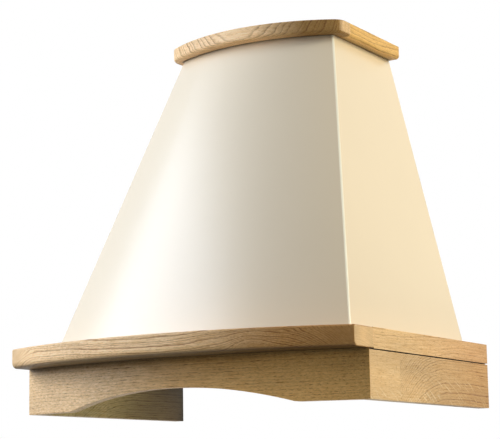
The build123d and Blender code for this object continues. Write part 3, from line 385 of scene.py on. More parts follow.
@dataclass(frozen=True)
class Wood(Finish):
    """Solid wood with growth rings round a heart line, pores, fibres and rays.

    Attributes:
        heart: The heart line's place along (not used) and across the grain.
        sway: How far the rings wander.
        streak: How dark the early wood is.
        inside: The tint of the face that looks into the hood.
        low: The height that ray flecks start at.
        outside: 1 or -1 for a board whose outer face looks along +X or -X.
        corner: How far the painted shade near other pieces reaches.
        painted_shade_below: How light a face is that looks down; this is painted shade, as under an
            overhang.
        arris: The radius that a sharp edge is eased by.
        edge_wear_and_highlight: How much lighter such an edge is: wear, and a painted highlight where
            eased edges catch light.
    """

    grain: Grain
    heart: Triple
    ring: float = 0.0044
    sway: float = 0.010
    light: Colour = (0.88, 0.62, 0.345)
    middle: Colour = (0.72, 0.455, 0.205)
    dark: Colour = (0.24, 0.088, 0.015)
    inside: Colour = (0.90, 1.0, 0.86)
    streak: float = 0.85
    pores: float = 0.6
    knot: Optional[Knot] = None
    sweeps: tuple[Sweep, ...] = ()
    staves: tuple[Stave, ...] = (Stave(-9.0),)
    shade_drift: Optional[ShadeDrift] = None
    low: float = 0.0
    outside: float = 0.0
    corner: float = 0.013
    painted_shade_below: float = 1.0
    roughness: float = 0.44
    pore_roughness: float = 0.25
    relief: float = 0.00030
    arris: float = 0.0009
    edge_wear_and_highlight: float = 0.50

    def fill(self, s: Shader) -> None:
        """Fill the material's tree with wood.

        Args:
            s: The shader.
        """
        at = self.spot(s)
        rings = self.rings(s, at)
        fibre = s.cloud(at.board, FIBRE)
        pore = self.pore(s, at, rings)
        colour = s.mix(s.spread(fibre, FIBRES), self.light, self.middle)
        colour = s.mix(s.times(rings, self.streak), colour, self.dark)
        colour = s.mix(s.times(pore, self.pores), colour, self.dark)
        if any(stave.rays for stave in self.staves):
            colour = self.rays(s, at, colour)
        edge, soft = self.edge(s)
        shade = self.shade(s, at, edge)
        if self.outside:
            # Painted light and shade on the face that looks into the hood: lighter at the front and
            # darker towards the wall. The face also takes the inside tint.
            inner = s.spread(s.times(s.facing(0), self.outside), INNER_FACE)
            shade = s.times(shade, s.plus(1.0, s.times(inner, s.spread(at.along, INNER_PAINTED_LIGHT))))
            colour = s.mix(inner, colour, s.tinted(colour, self.inside))
        # Painted shade: faces that look down are darkened as though in the shade of an overhang.
        if self.painted_shade_below < 1.0:
            down = Span(-0.95, -0.55, self.painted_shade_below, 1.0)
            shade = s.times(shade, s.spread(s.facing(2, "Normal"), down))
        # Painted shade: the colour deepens along the board, but not on end grain.
        if self.shade_drift:
            share = s.spread(at.along, Span(self.shade_drift.start, self.shade_drift.end))
            share = s.times(share, s.spread(at.end, NO_END))
            colour = s.mix(share, colour, s.tinted(colour, self.shade_drift.tint))
        s.set(Base_Color=s.tinted(colour, s.join(shade, shade, shade)))
        s.set(Specular_IOR_Level=0.14, Coat_Weight=0.12, Coat_Roughness=0.34)
        s.set(Roughness=s.plus(self.roughness, s.times(pore, self.pore_roughness)))
        s.bump(s.less(s.times(fibre, 0.5), s.plus(pore, rings)), self.relief, 0.9, soft)

    def spot(self, s: Shader) -> Spot:
        """Where a point of the board is.

        Args:
            s: The shader.

        Returns:
            The spot.
        """
        axes = list(s.split(s.place))
        along = axes.pop(self.grain.value)
        first, second = axes
        moved = second
        for number, stave in enumerate(self.staves[1:], start=1):
            past = s.sum("GREATER_THAN", along, stave.start)
            moved = s.plus(moved, s.times(past, STAVE_JUMP * number))
        end = s.spread(s.sum("ABSOLUTE", s.facing(self.grain.value)), END_FACE)
        return Spot(along, first, second, s.join(along, first, moved), end)

    def by_stave(self, s: Shader, at: Spot, word: str) -> Feed:
        """One of the staves' values at a point.

        Args:
            s: The shader.
            at: The spot.
            word: The name of the value.

        Returns:
            The value, which steps at each glue joint.
        """
        value: Feed = getattr(self.staves[0], word)
        for before, stave in zip(self.staves, self.staves[1:]):
            change = getattr(stave, word) - getattr(before, word)
            if change:
                value = s.plus(value, s.times(s.sum("GREATER_THAN", at.along, stave.start), change))
        return value

    def phase(self, s: Shader, at: Spot) -> Socket:
        """How many growth rings lie between the heart line and a point.

        Args:
            s: The shader.
            at: The spot.

        Returns:
            The count of rings.
        """
        out_first = s.sum("POWER", s.less(at.first, self.heart[1]), 2.0)
        out_second = s.sum("POWER", s.less(at.second, self.heart[2]), 2.0)
        far = s.sum("SQRT", s.plus(out_first, out_second))
        slow = s.times(s.less(s.cloud(at.board, SLOW_SWAY), 0.5), 4 * self.sway)
        quick = s.times(s.less(s.cloud(at.board, QUICK_SWAY), 0.5), 0.7 * self.sway)
        phase = s.sum("DIVIDE", s.plus(far, slow, quick), self.ring)
        uneven = s.noise(s.join(phase, 0.0, 0.0), RINGS_APART, 1.0)
        phase = s.plus(phase, s.times(uneven, UNEVEN_RINGS))
        for sweep in self.sweeps:
            past = s.less(at.along, sweep.start)
            if sweep.start < 0:
                past = s.times(past, -1.0)
            past = s.sum("POWER", s.sum("MAXIMUM", past, 0.0), 2.0)
            phase = s.plus(phase, s.times(past, sweep.strength))
        if self.knot:
            offset = s.vector("SUBTRACT", s.place, self.knot.centre)[0]
            near = s.stretched(offset, tuple(1.0 / size for size in self.knot.reach))
            squared = s.sum("POWER", s.vector("LENGTH", near)["Value"], 2.0)
            push = s.sum("EXPONENT", s.times(squared, -1.0))
            phase = s.plus(phase, s.times(push, self.knot.push))
        return phase

    def rings(self, s: Shader, at: Spot) -> Socket:
        """How dark the growth rings' early wood is at a point.

        Args:
            s: The shader.
            at: The spot.

        Returns:
            The early wood's share.
        """
        phase = self.phase(s, at)
        strength = s.spread(s.noise(s.join(phase, 0.0, 0.0), RINGS_ALIKE), RING_STRENGTH)
        faint = s.spread(s.cloud(at.board, FAINT_RINGS), RING_PATCHES)
        strength = s.times(strength, faint, self.by_stave(s, at, "rings"), s.spread(at.end, END_RINGS))
        return s.times(s.ramp(s.sum("FRACT", phase), EARLY_WOOD), strength)

    def pore(self, s: Shader, at: Spot, rings: Feed) -> Socket:
        """Short open pores, long ones in the early wood and fine ones between.

        Args:
            s: The shader.
            at: The spot.
            rings: The early wood's share.

        Returns:
            The pores' share.
        """
        long = s.spread(s.cloud(at.board, LONG_PORE), LONG_PORES)
        long = s.times(long, s.spread(rings, PORES_BY_RING))
        fine = s.times(s.spread(s.cloud(at.board, FINE_PORE), FINE_PORES), 0.55)
        return s.sum("MAXIMUM", long, fine)

    def rays(self, s: Shader, at: Spot, colour: Feed) -> Socket:
        """Pale curved ray flecks that lean across the grain, low on the board.

        Args:
            s: The shader.
            at: The spot.
            colour: The wood's colour so far.

        Returns:
            The colour with the flecks.
        """
        up = s.less(at.second, self.low)
        bow = s.times(s.sum("POWER", up, 2.0), FLECKS.bow)
        slant = s.plus(at.along, s.times(up, FLECKS.lean), bow)
        face = s.join(s.times(slant, FLECKS.along), s.times(up, FLECKS.across), 0.0)
        share = s.spread(s.noise(face, 1.0, 1.0), FLECKS.share)
        limit = s.times(self.by_stave(s, at, "rays"), FLECKS.reach)
        share = s.times(share, s.spread(s.less(up, limit), FLECKS.fade))
        share = s.times(share, s.spread(s.times(s.facing(0), self.outside), FLECKS.outer))
        return s.mix(share, colour, FLECKS.colour)

    def shade(self, s: Shader, at: Spot, edge: Feed) -> Socket:
        """How light the wood is: by patch, stave and end, with wear and a painted highlight on edges,
        and painted shade near other pieces.

        Args:
            s: The shader.
            at: The spot.
            edge: How near the point is to a sharp edge.

        Returns:
            What the colour is multiplied by.
        """
        tone = s.spread(s.cloud(at.board, TONE), TONES)
        # Sharp edges are made lighter: partly wear, partly a painted highlight of eased edges catching
        # light.
        shade = s.times(tone, self.by_stave(s, at, "tone"), s.plus(1.0, s.times(edge, self.edge_wear_and_highlight)))
        # Painted shade: ambient occlusion darkens the wood in corners, at contact lines and under
        # overhangs.
        near = s.add("ShaderNodeAmbientOcclusion", {"Distance": self.corner}, samples=SAMPLES)
        return s.times(shade, s.spread(at.end, END_TONE), s.spread(near.outputs["AO"], CREVICE_PAINTED_SHADE))

    def edge(self, s: Shader) -> tuple[Socket, Socket]:
        """How near a point is to a sharp edge, and the normal that eases that edge.

        Args:
            s: The shader.

        Returns:
            The nearness, from 0 to 1, and the normal.
        """
        soft = s.add("ShaderNodeBevel", {"Radius": self.arris}, samples=SAMPLES).outputs[0]
        flat = s.add("ShaderNodeNewGeometry").outputs["True Normal"]
        return s.spread(s.vector("DOT_PRODUCT", soft, flat)["Value"], SHARP_EDGE), soft


@dataclass(frozen=True)
class Paint(Finish):
    """Satin powder coat on smooth sheet steel."""

    colour: Colour
    roughness: float = 0.38
    coat: float = 0.65
    coat_roughness: float = 0.26
    # The colour of the painted highlight over folds.
    pale: Colour = (1.0, 0.96, 0.82)
    fold: Span = Span(0.52, 0.66, 0.0, 0.9)
    side: Span = Span(1.46, 1.55, 1.0, 0.0)
    deeper: float = 0.975
    patches: float = 6.0
    peel: float = 520.0

    def fill(self, s: Shader) -> None:
        """Fill the material's tree with paint.

        Args:
            s: The shader.
        """
        deep = tuple(self.deeper * c for c in self.colour)
        colour = s.mix(s.spread(s.noise(s.place, self.patches, 3.0), USUAL), self.colour, deep)
        # Painted highlight: the paint is made paler over the folds from front to side.
        s.set(Base_Color=s.mix(self.corner(s), colour, self.pale))
        peel = s.noise(s.place, self.peel)
        s.matt(peel, self.roughness - 0.02, self.roughness + 0.03)
        s.set(Coat_Weight=self.coat, Coat_Roughness=self.coat_roughness)
        s.bump(peel, 0.00001, 0.4)

    def corner(self, s: Shader) -> Socket:
        """Where the sheet folds from the front to a side, and a painted highlight makes the paint over
        the fold paler.

        Args:
            s: The shader.

        Returns:
            The painted highlight's share.
        """
        x, y, _ = s.split(s.add("ShaderNodeNewGeometry").outputs["Normal"])
        turn = s.sum("ARCTAN2", s.sum("ABSOLUTE", x), s.times(y, -1.0))
        return s.times(s.spread(turn, self.fold), s.spread(turn, self.side))


class Texture(Enum):
    """The pattern that a metal's surface carries."""

    BRUSHED = "brushed"
    SPANGLED = "spangled"
    PLAIN = "plain"


BRUSH_LINES = Cloud((9.0, 1500.0, 1500.0), 4.0, 0.7)


@dataclass(frozen=True)
class Metal(Finish):
    """Bare metal, brushed, spangled or plain."""

    colour: Colour
    roughness: float
    texture: Texture = Texture.PLAIN
    flakes: float = 85.0
    flake_share: float = 0.75
    specks: float = 400.0
    clouds: float = 90.0
    pits: float = 900.0
    dull: float = 0.80
    bright: float = 1.08

    def fill(self, s: Shader) -> None:
        """Fill the material's tree with metal.

        Args:
            s: The shader.
        """
        if self.texture is Texture.SPANGLED:
            feeds = {"Vector": s.place, "Scale": self.flakes, "Randomness": 1.0}
            cell = s.split(s.add("ShaderNodeTexVoronoi", feeds).outputs["Color"])[0]
            fine = s.noise(s.place, self.specks, 3.0)
            tone = s.plus(s.times(cell, self.flake_share), s.times(fine, 1.0 - self.flake_share))
            height, depth = fine, 0.00002
        elif self.texture is Texture.BRUSHED:
            tone = s.cloud(s.place, BRUSH_LINES)
            height, depth = tone, 0.00002
        else:
            tone = s.noise(s.place, self.clouds, 4.0)
            height, depth = s.noise(s.place, self.pits), 0.00003
        low = tuple(self.dull * c for c in self.colour)
        high = tuple(min(1.0, self.bright * c) for c in self.colour)
        s.set(Base_Color=s.mix(s.spread(tone, Span(0.2, 0.8)), low, high), Metallic=1.0)
        s.set(Roughness=s.spread(tone, Span(0.2, 0.8, self.roughness + 0.1, self.roughness - 0.06)))
        s.bump(height, depth, 0.6)


@dataclass(frozen=True)
class Plastic(Finish):
    """Moulded plastic with a fine eroded texture."""

    colour: Colour
    roughness: float = 0.5
    texture: float = 0.00004
    patches: float = 18.0
    erosion: float = 1400.0

    def fill(self, s: Shader) -> None:
        """Fill the material's tree with plastic.

        Args:
            s: The shader.
        """
        high = tuple(min(1.0, 1.12 * c + 0.004) for c in self.colour)
        cloud = s.spread(s.noise(s.place, self.patches, 3.0), USUAL)
        s.set(Base_Color=s.mix(cloud, self.colour, high))
        fine = s.noise(s.place, self.erosion)
        s.matt(fine, self.roughness - 0.05, self.roughness + 0.06)
        s.bump(fine, self.texture, 0.7)


@dataclass(frozen=True)
class Glass(Finish):
    """Frosted lamp glass."""

    colour: Colour = (0.95, 0.95, 0.93)
    patches: float = 30.0
    frost: float = 1100.0

    def fill(self, s: Shader) -> None:
        """Fill the material's tree with glass.

        Args:
            s: The shader.
        """
        dim = tuple(0.94 * c for c in self.colour)
        s.set(Base_Color=s.mix(s.noise(s.place, self.patches), self.colour, dim))
        s.set(Transmission_Weight=0.85, IOR=1.5)
        frost = s.noise(s.place, self.frost, 3.0)
        s.matt(frost, 0.28, 0.42)
        s.bump(frost, 0.00003, 0.6)


class Workshop:
    """Keeps one material for each finish and puts it on pieces."""

    def __init__(self) -> None:
        """Start with no materials made."""
        self.made: dict[str, bpy.types.Material] = {}

    def material(self, finish: Finish) -> bpy.types.Material:
        """The material of a finish, made on its first use.

        Args:
            finish: The finish.

        Returns:
            The material.
        """
        if finish.name not in self.made:
            shader = Shader(finish.name)
            finish.fill(shader)
            self.made[finish.name] = shader.material
        return self.made[finish.name]

    def dress(self, finish: Finish, *nodes: str) -> None:
        """Give CAD nodes a finish.

        Args:
            finish: The finish.
            nodes: The nodes' names.
        """
        for node in nodes:
            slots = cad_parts[node].data.materials
            slots.clear()
            slots.append(self.material(finish))
            LOG.info("dressed %s in %s", node, finish.name)


# ---- Patterns ----

ROUND = 96


class Pattern(Sheet):
    """A Geometry Nodes tree with named inputs, turned into plain meshes."""

    def __init__(self, name: str, **inputs: float) -> None:
        """Make the tree's interface.

        Args:
            name: The tree's name.
            inputs: The usual values of sizes in metres (float) and of counts (int).
        """
        super().__init__(bpy.data.node_groups.new(name, "GeometryNodeTree"))
        face = self.tree.interface
        for word, value in inputs.items():
            kind = "NodeSocketInt" if isinstance(value, int) else "NodeSocketFloat"
            socket = face.new_socket(word.replace("_", " "), in_out="INPUT", socket_type=kind)
            socket.default_value = value
        face.new_socket("Finish", in_out="INPUT", socket_type="NodeSocketMaterial")
        face.new_socket("Geometry", in_out="OUTPUT", socket_type="NodeSocketGeometry")
        self.given = self.add("NodeGroupInput").outputs

    def link(self, *shapes: Socket) -> Socket:
        """Several shapes as one.

        Args:
            shapes: The shapes in order.

        Returns:
            The joined shape.
        """
        node = self.add("GeometryNodeJoinGeometry")
        for shape in reversed(shapes):
            self.feed(shape, node.inputs[0])
        return node.outputs[0]

    def shape(self, kind: str, **feeds: Feed) -> Socket:
        """A geometry node's first output; an underscore in an input's name stands for a space."""
        named = {word.replace("_", " "): value for word, value in feeds.items()}
        return self.add("GeometryNode" + kind, named).outputs[0]

    def moved(self, shape: Socket, offset: Feed) -> Socket:
        """A shape moved by an offset."""
        return self.shape("Transform", Geometry=shape, Translation=offset)

    def close(self, shape: Socket) -> None:
        """End the tree in Realize Instances and Set Material.

        Args:
            shape: The whole shape.
        """
        real = self.shape("RealizeInstances", Geometry=shape)
        done = self.shape("SetMaterial", Geometry=real, Material=self.given["Finish"])
        self.add("NodeGroupOutput", {0: done})

    def grow(self, name: str, at: Triple, **values: Any) -> bpy.types.Object:
        """Make a plain mesh piece from the tree.

        Args:
            name: The piece's name.
            at: Where the pattern's own origin goes.
            values: The named inputs; an underscore stands for a space.

        Returns:
            The piece, with its place in its mesh.
        """
        seed = bpy.data.objects.new(name + "_seed", bpy.data.meshes.new(name + "_seed"))
        bpy.context.scene.collection.objects.link(seed)
        modifier = seed.modifiers.new("Pattern", "NODES")
        modifier.node_group = self.tree
        words = {key.replace("_", " "): value for key, value in values.items()}
        for item in self.tree.interface.items_tree:
            if item.in_out == "INPUT" and item.name in words:
                modifier[item.identifier] = words[item.name]
        graph = bpy.context.evaluated_depsgraph_get()
        mesh = bpy.data.meshes.new_from_object(seed.evaluated_get(graph), depsgraph=graph)
        bpy.data.objects.remove(seed)
        mesh.name = name
        mesh.transform(Matrix.Translation(at))
        piece = bpy.data.objects.new(name, mesh)
        bpy.context.scene.collection.objects.link(piece)
        LOG.info("made %s with %d faces", name, len(mesh.polygons))
        return piece


class ExpandedSheet(Pattern):
    """Slit and stretched sheet: rows of zigzag strands that meet in diamonds, in crossed layers."""

    def __init__(self) -> None:
        """Build the tree."""
        super().__init__("expanded_sheet", Stride=0.004, Row=0.0042, Strand=0.0008, Sheet=0.0004,
                         Layer=0.0024, Points=50, Rows=60, Layers=3)
        given = self.given
        odd = self.sum("MODULO", self.add("GeometryNodeInputIndex").outputs[0], 2.0)
        swing = self.times(self.less(odd, 0.5), given["Row"])
        shift = self.times(odd, given["Stride"])
        stagger = self.times(odd, given["Stride"], 0.5)
        line = self.shape("MeshLine", Count=given["Points"], Offset=self.join(given["Stride"], 0.0, 0.0))
        zigzag = self.shape("SetPosition", Geometry=line, Offset=self.join(0.0, swing, 0.0))
        path = self.shape("MeshToCurve", Mesh=zigzag)
        section = self.shape("CurvePrimitiveQuadrilateral", Width=given["Strand"], Height=given["Sheet"])
        strand = self.shape("CurveToMesh", Curve=path, Profile_Curve=section)
        rows = self.shape("MeshLine", Count=given["Rows"], Offset=self.join(0.0, given["Row"], 0.0))
        rows = self.shape("SetPosition", Geometry=rows, Offset=self.join(shift, 0.0, 0.0))
        layer = self.shape("InstanceOnPoints", Points=rows, Instance=strand)
        stack = self.shape("MeshLine", Count=given["Layers"], Offset=self.join(0.0, 0.0, given["Layer"]))
        stack = self.shape("SetPosition", Geometry=stack, Offset=self.join(stagger, stagger, 0.0))
        self.close(self.shape("InstanceOnPoints", Points=stack, Instance=layer))


class FanWheel(Pattern):
    """A double-inlet fan wheel about the X axis, with curved blades."""

    bend: float = 0.72
    centring: float = -0.62
    start: float = math.radians(-52.0)
    sweep: float = math.radians(92.0)
    lean: float = math.radians(62.0)

    def __init__(self) -> None:
        """Build the tree."""
        super().__init__("fan_wheel", Radius=0.085, Half_Width=0.074, Blade=0.015, Wall=0.0012,
                         Ring=0.0024, Hub=0.014, Hub_Length=0.016, Blades=36)
        given = self.given
        middle = self.less(given["Radius"], self.times(given["Blade"], 0.5))
        inner = self.less(given["Radius"], given["Blade"])
        disc = self.shape("MeshCylinder", Vertices=ROUND, Radius=inner, Depth=given["Ring"])
        hub = self.shape("MeshCylinder", Vertices=48, Radius=given["Hub"], Depth=given["Hub Length"])
        drop = self.times(self.less(given["Ring"], given["Hub Length"]), 0.5)
        hub = self.moved(hub, self.join(0.0, 0.0, drop))
        wheel = self.link(self.cage(middle), self.hoop(middle, 1.0), self.hoop(middle, -1.0), disc, hub)
        self.close(self.shape("Transform", Geometry=wheel, Rotation=(0.0, math.radians(90.0), 0.0)))

    def cage(self, middle: Feed) -> Socket:
        """The curved blades in a ring.

        Args:
            middle: The radius of the ring's middle.

        Returns:
            The blades.
        """
        given = self.given
        arc = self.add("GeometryNodeCurveArc", {
            "Resolution": 9, "Radius": self.times(given["Blade"], self.bend),
            "Start Angle": self.start, "Sweep Angle": self.sweep}, mode="RADIUS")
        aside = self.times(given["Blade"], self.centring)
        centre = self.moved(arc.outputs[0], self.join(aside, 0.0, 0.0))
        length = self.times(given["Half Width"], 2.0)
        section = self.shape("CurvePrimitiveQuadrilateral", Width=given["Wall"], Height=length)
        blade = self.shape("CurveToMesh", Curve=centre, Fill_Caps=True, Profile_Curve=section)
        blade = self.shape("Transform", Geometry=blade, Rotation=(0.0, 0.0, self.lean))
        circle = self.shape("MeshCircle", Vertices=given["Blades"], Radius=middle)
        turn = self.sum("DIVIDE", math.tau, given["Blades"])
        spin = self.times(self.add("GeometryNodeInputIndex").outputs[0], turn)
        euler = self.add("FunctionNodeEulerToRotation", {0: self.join(0.0, 0.0, spin)}).outputs[0]
        return self.shape("InstanceOnPoints", Points=circle, Instance=blade, Rotation=euler)

    def hoop(self, middle: Feed, side: float) -> Socket:
        """The flat ring that holds the blades' ends on one side.

        Args:
            middle: The radius of the ring's middle.
            side: 1 for one side, -1 for the other.

        Returns:
            The ring.
        """
        given = self.given
        ring = self.shape("CurvePrimitiveCircle", Resolution=ROUND, Radius=middle)
        rim = self.shape("CurvePrimitiveQuadrilateral", Width=given["Blade"], Height=given["Ring"])
        height = self.times(self.less(given["Half Width"], self.times(given["Ring"], 0.5)), side)
        hoop = self.shape("CurveToMesh", Curve=ring, Profile_Curve=rim)
        return self.moved(hoop, self.join(0.0, 0.0, height))


class RibbedLens(Pattern):
    """A round lamp glass with concentric ridges on its upper side."""

    def __init__(self) -> None:
        """Build the tree."""
        super().__init__("ribbed_lens", Radius=0.0267, Thickness=0.0017, Ridge=0.0016, Ridges=14)
        given = self.given
        thick = given["Thickness"]
        disc = self.shape("MeshCylinder", Vertices=ROUND, Radius=given["Radius"], Depth=thick)
        disc = self.moved(disc, self.join(0.0, 0.0, self.times(thick, 0.5)))
        index = self.add("GeometryNodeInputIndex").outputs[0]
        step = self.sum("DIVIDE", self.less(given["Radius"], given["Ridge"]), given["Ridges"])
        size = self.times(self.plus(index, 1.0), step)
        points = self.shape("MeshLine", Count=given["Ridges"], Offset=(0.0, 0.0, 0.0))
        ring = self.shape("CurvePrimitiveCircle", Resolution=ROUND, Radius=1.0)
        rings = self.shape("InstanceOnPoints", Points=points, Instance=ring,
                           Scale=self.join(size, size, 1.0))
        rings = self.shape("RealizeInstances", Geometry=rings)
        radius = self.times(given["Ridge"], 0.5)
        section = self.shape("CurvePrimitiveCircle", Resolution=4, Radius=radius)
        ridges = self.shape("CurveToMesh", Curve=rings, Profile_Curve=section)
        self.close(self.link(disc, self.moved(ridges, self.join(0.0, 0.0, thick))))


# ---- Sub-assemblies ----


@dataclass
class Ledge:
    """The oak ledge: a bowed front rail and two side rails."""

    shop: Workshop
    knot: Knot = Knot((0.163, -0.489, -0.365), (0.021, 0.06, 0.017), -9.0)
    # How light the rails' undersides are: painted shade.
    underside_shade: float = 0.2

    def build(self) -> None:
        """Dress the three rails."""
        self.shop.dress(Wood("oak_ledge_front", Grain.ALONG_X, (0.0, -0.44, -0.60), ring=0.0036,
                             sway=0.007, streak=0.95, knot=self.knot,
                             sweeps=(Sweep(0.19, 1700.0), Sweep(-0.22, 1100.0)),
                             staves=(Stave(-9.0, rings=1.3, tone=1.14),), painted_shade_below=self.underside_shade,
                             shade_drift=ShadeDrift(0.03, 0.21, (0.60, 0.46, 0.29))), "ledge_front_rail")
        for side, node in ((1.0, "ledge_right_rail"), (-1.0, "ledge_left_rail")):
            self.shop.dress(Wood("oak_" + node, Grain.ALONG_Y, (0.0, side * 0.26, -0.43), ring=0.0048,
                                 streak=0.5, painted_shade_below=self.underside_shade,
                                 shade_drift=ShadeDrift(-0.30, -0.05, (0.76, 0.66, 0.60))), node)


@dataclass
class Apron:
    """The oak apron: a bowed front board with an arch and two stave-glued side boards."""

    shop: Workshop
    staves: tuple[Stave, ...] = (
        Stave(-9.0, rings=0.10, tone=0.86, rays=0.30),
        Stave(-0.3095, rings=1.25, tone=0.80, rays=0.34),
        Stave(-0.225, rings=1.15, tone=0.77, rays=0.85),
    )

    def build(self) -> None:
        """Dress the boards."""
        self.shop.dress(Wood("oak_apron_front", Grain.ALONG_X, (0.0, -0.43, 0.55), ring=0.0046,
                             sway=0.0035, streak=0.50, pores=0.75, staves=(Stave(-9.0, tone=1.08),),
                             shade_drift=ShadeDrift(-0.14, 0.03, (0.84, 0.72, 0.47))), "apron_front_board")
        for side, node in ((1.0, "apron_right_board"), (-1.0, "apron_left_board")):
            self.shop.dress(Wood("oak_" + node, Grain.ALONG_Y, (0.0, side * 0.24, -0.47), ring=0.0035,
                                 sway=0.003, streak=0.75, sweeps=(Sweep(-0.15, 560.0),),
                                 staves=self.staves, low=-0.43, outside=side,
                                 shade_drift=ShadeDrift(-0.26, -0.04, (0.84, 0.72, 0.58))), node)


@dataclass
class Crown:
    """The oak crown: a bowed front rail and two side rails."""

    shop: Workshop

    def build(self) -> None:
        """Dress the three rails."""
        self.shop.dress(Wood("oak_crown_front", Grain.ALONG_X, (0.0, 0.03, 0.135), ring=0.0034,
                             sway=0.005, streak=1.0, corner=0.005,
                             staves=(Stave(-9.0, rings=1.3, tone=1.14),),
                             shade_drift=ShadeDrift(0.03, 0.11, (0.37, 0.31, 0.19))), "crown_front_rail")
        for side, node in ((1.0, "crown_right_rail"), (-1.0, "crown_left_rail")):
            self.shop.dress(Wood("oak_" + node, Grain.ALONG_Y, (0.0, side * 0.10, 0.12), ring=0.0046,
                                 sway=0.008, light=(0.82, 0.525, 0.19), middle=(0.68, 0.41, 0.12)), node)


@dataclass
class Dome:
    """The painted sheet steel dome with its galvanised back and top plate."""

    shop: Workshop
    ivory: Colour = (0.86, 0.715, 0.50)

    def build(self) -> None:
        """Dress the panels, the back, the hanger plates and the top plate."""
        self.shop.dress(Paint("ivory_paint", self.ivory),
                        "dome_front_panel", "dome_left_panel", "dome_right_panel")
        zinc = Metal("galvanised_sheet", (0.60, 0.62, 0.64), 0.42, Texture.SPANGLED)
        self.shop.dress(zinc, "back_panel", "hanger_plates", "top_plate")


@dataclass
class Fasteners:
    """Screws, dowels and glue blocks."""

    shop: Workshop
    zinc: Metal = Metal("zinc_plate", (0.70, 0.71, 0.72), 0.30)
    beech: Wood = Wood("beech", Grain.ALONG_Z, (0.05, 0.02, 0.03), ring=0.003, light=(0.72, 0.54, 0.34),
                       middle=(0.64, 0.46, 0.28), dark=(0.50, 0.33, 0.18), pores=0.2)

    def build(self) -> None:
        """Dress every screw and dowel, and the glue blocks."""
        self.shop.dress(self.zinc, "dome_base_screws", "crown_screws", "pan_screws", "spigot_screws",
                        "blower_screws", "motor_bracket_screws")
        self.shop.dress(self.beech, "apron_dowels", "apron_glue_blocks")
        self.shop.dress(replace(self.beech, name="beech_along_y", grain=Grain.ALONG_Y),
                        "ledge_dowels", "crown_dowels")


@dataclass
class Filters:
    """The pan and its two grease filters with layered expanded aluminium sheet."""

    shop: Workshop
    margin: float = 0.0008
    stride: float = 0.0041
    row: float = 0.0044
    layers: int = 3

    def build(self) -> None:
        """Dress the pan and the frames, and put layered sheet into each frame."""
        self.shop.dress(Metal("pan_steel", (0.66, 0.66, 0.66), 0.33, Texture.BRUSHED), "base_pan")
        aluminium = Metal("filter_aluminium", (0.78, 0.79, 0.80), 0.30, Texture.BRUSHED)
        spring = Metal("spring_steel", (0.62, 0.62, 0.62), 0.28)
        sheet = Metal("expanded_aluminium", (0.74, 0.75, 0.77), 0.34)
        pattern = ExpandedSheet()
        for side in ("left", "right"):
            self.shop.dress(aluminium, "filter_%s_frame" % side)
            self.shop.dress(spring, "filter_%s_pull" % side, "filter_%s_clips" % side)
            node = "filter_%s_mesh" % side
            low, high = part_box(node)
            size = high - low
            points = int((size.x - 2 * self.margin) / self.stride)
            rows = int((size.y - 2 * self.margin) / self.row) - 1
            pitch = (size.z - 2 * self.margin) / (self.layers - 1)
            at = (low.x + self.margin, low.y + self.margin + self.row / 2, low.z + self.margin)
            piece = pattern.grow("filter_%s_sheets" % side, at, Stride=self.stride, Row=self.row,
                                 Layer=pitch, Points=points, Rows=rows, Layers=self.layers,
                                 Finish=self.shop.material(sheet))
            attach(piece, "filter_" + side)
            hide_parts(node)


@dataclass
class Lamps:
    """Two round lamps in the pan."""

    shop: Workshop
    flat: float = 0.68

    def build(self) -> None:
        """Dress bezels and cups, and put a ribbed glass in each bezel."""
        pattern = RibbedLens()
        glass = Glass("lamp_glass")
        for side in ("left", "right"):
            self.shop.dress(Metal("satin_chrome", (0.78, 0.78, 0.79), 0.22), "lamp_%s_bezel" % side)
            self.shop.dress(Metal("lamp_cup", (0.72, 0.72, 0.73), 0.35), "lamp_%s_housing" % side)
            node = "lamp_%s_lens" % side
            low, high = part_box(node)
            middle = (low + high) / 2
            piece = pattern.grow("lamp_%s_glass" % side, (middle.x, middle.y, low.z),
                                 Radius=(high.x - low.x) / 2, Thickness=self.flat * (high.z - low.z),
                                 Finish=self.shop.material(glass))
            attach(piece, "hood")
            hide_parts(node)


@dataclass
class Controls:
    """The fascia with its push buttons and the switch block behind it."""

    shop: Workshop
    buttons: int = 5

    def build(self) -> None:
        """Dress the control pieces."""
        self.shop.dress(Plastic("fascia_plastic", (0.075, 0.072, 0.068), 0.45), "control_fascia")
        for number in range(1, self.buttons + 1):
            self.shop.dress(Plastic("button_plastic", (0.80, 0.78, 0.72), 0.3, 0.00001),
                            "push_button_%d" % number)
        self.shop.dress(Plastic("black_plastic", (0.035, 0.035, 0.037), 0.5),
                        "switch_block", "terminal_box", "cable_gland")


@dataclass
class Blower:
    """The double-inlet blower with its motor."""

    shop: Workshop

    def build(self) -> None:
        """Dress the housing and the motor, and put the bladed wheel in."""
        self.shop.dress(Plastic("housing_plastic", (0.105, 0.108, 0.112), 0.55, 0.00006),
                        "blower_left_half", "blower_right_half")
        self.shop.dress(Paint("motor_enamel", (0.035, 0.035, 0.037), 0.32, 0.4), "motor")
        self.shop.dress(Metal("bracket_steel", (0.58, 0.60, 0.62), 0.4, Texture.SPANGLED),
                        "motor_bracket")
        self.shop.dress(Metal("shaft_steel", (0.68, 0.68, 0.69), 0.22), "motor_shaft", "damper_pin")
        low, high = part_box("impeller")
        wheel = Plastic("wheel_plastic", (0.045, 0.045, 0.048), 0.5)
        middle = (low + high) / 2
        piece = FanWheel().grow("fan_wheel", tuple(middle), Radius=(high.z - low.z) / 2,
                                Half_Width=(high.x - low.x) / 2, Finish=self.shop.material(wheel))
        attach(piece, "impeller")
        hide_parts("impeller")


@dataclass
class Outlet:
    """The spigot with its two flaps, and the capacitor."""

    shop: Workshop

    def build(self) -> None:
        """Dress the outlet and the capacitor."""
        self.shop.dress(Plastic("spigot_plastic", (0.06, 0.06, 0.063), 0.5),
                        "outlet_spigot", "damper_front_flap", "damper_rear_flap")
        self.shop.dress(Metal("capacitor_can", (0.70, 0.70, 0.71), 0.3), "motor_capacitor")


# ---- Studio ----


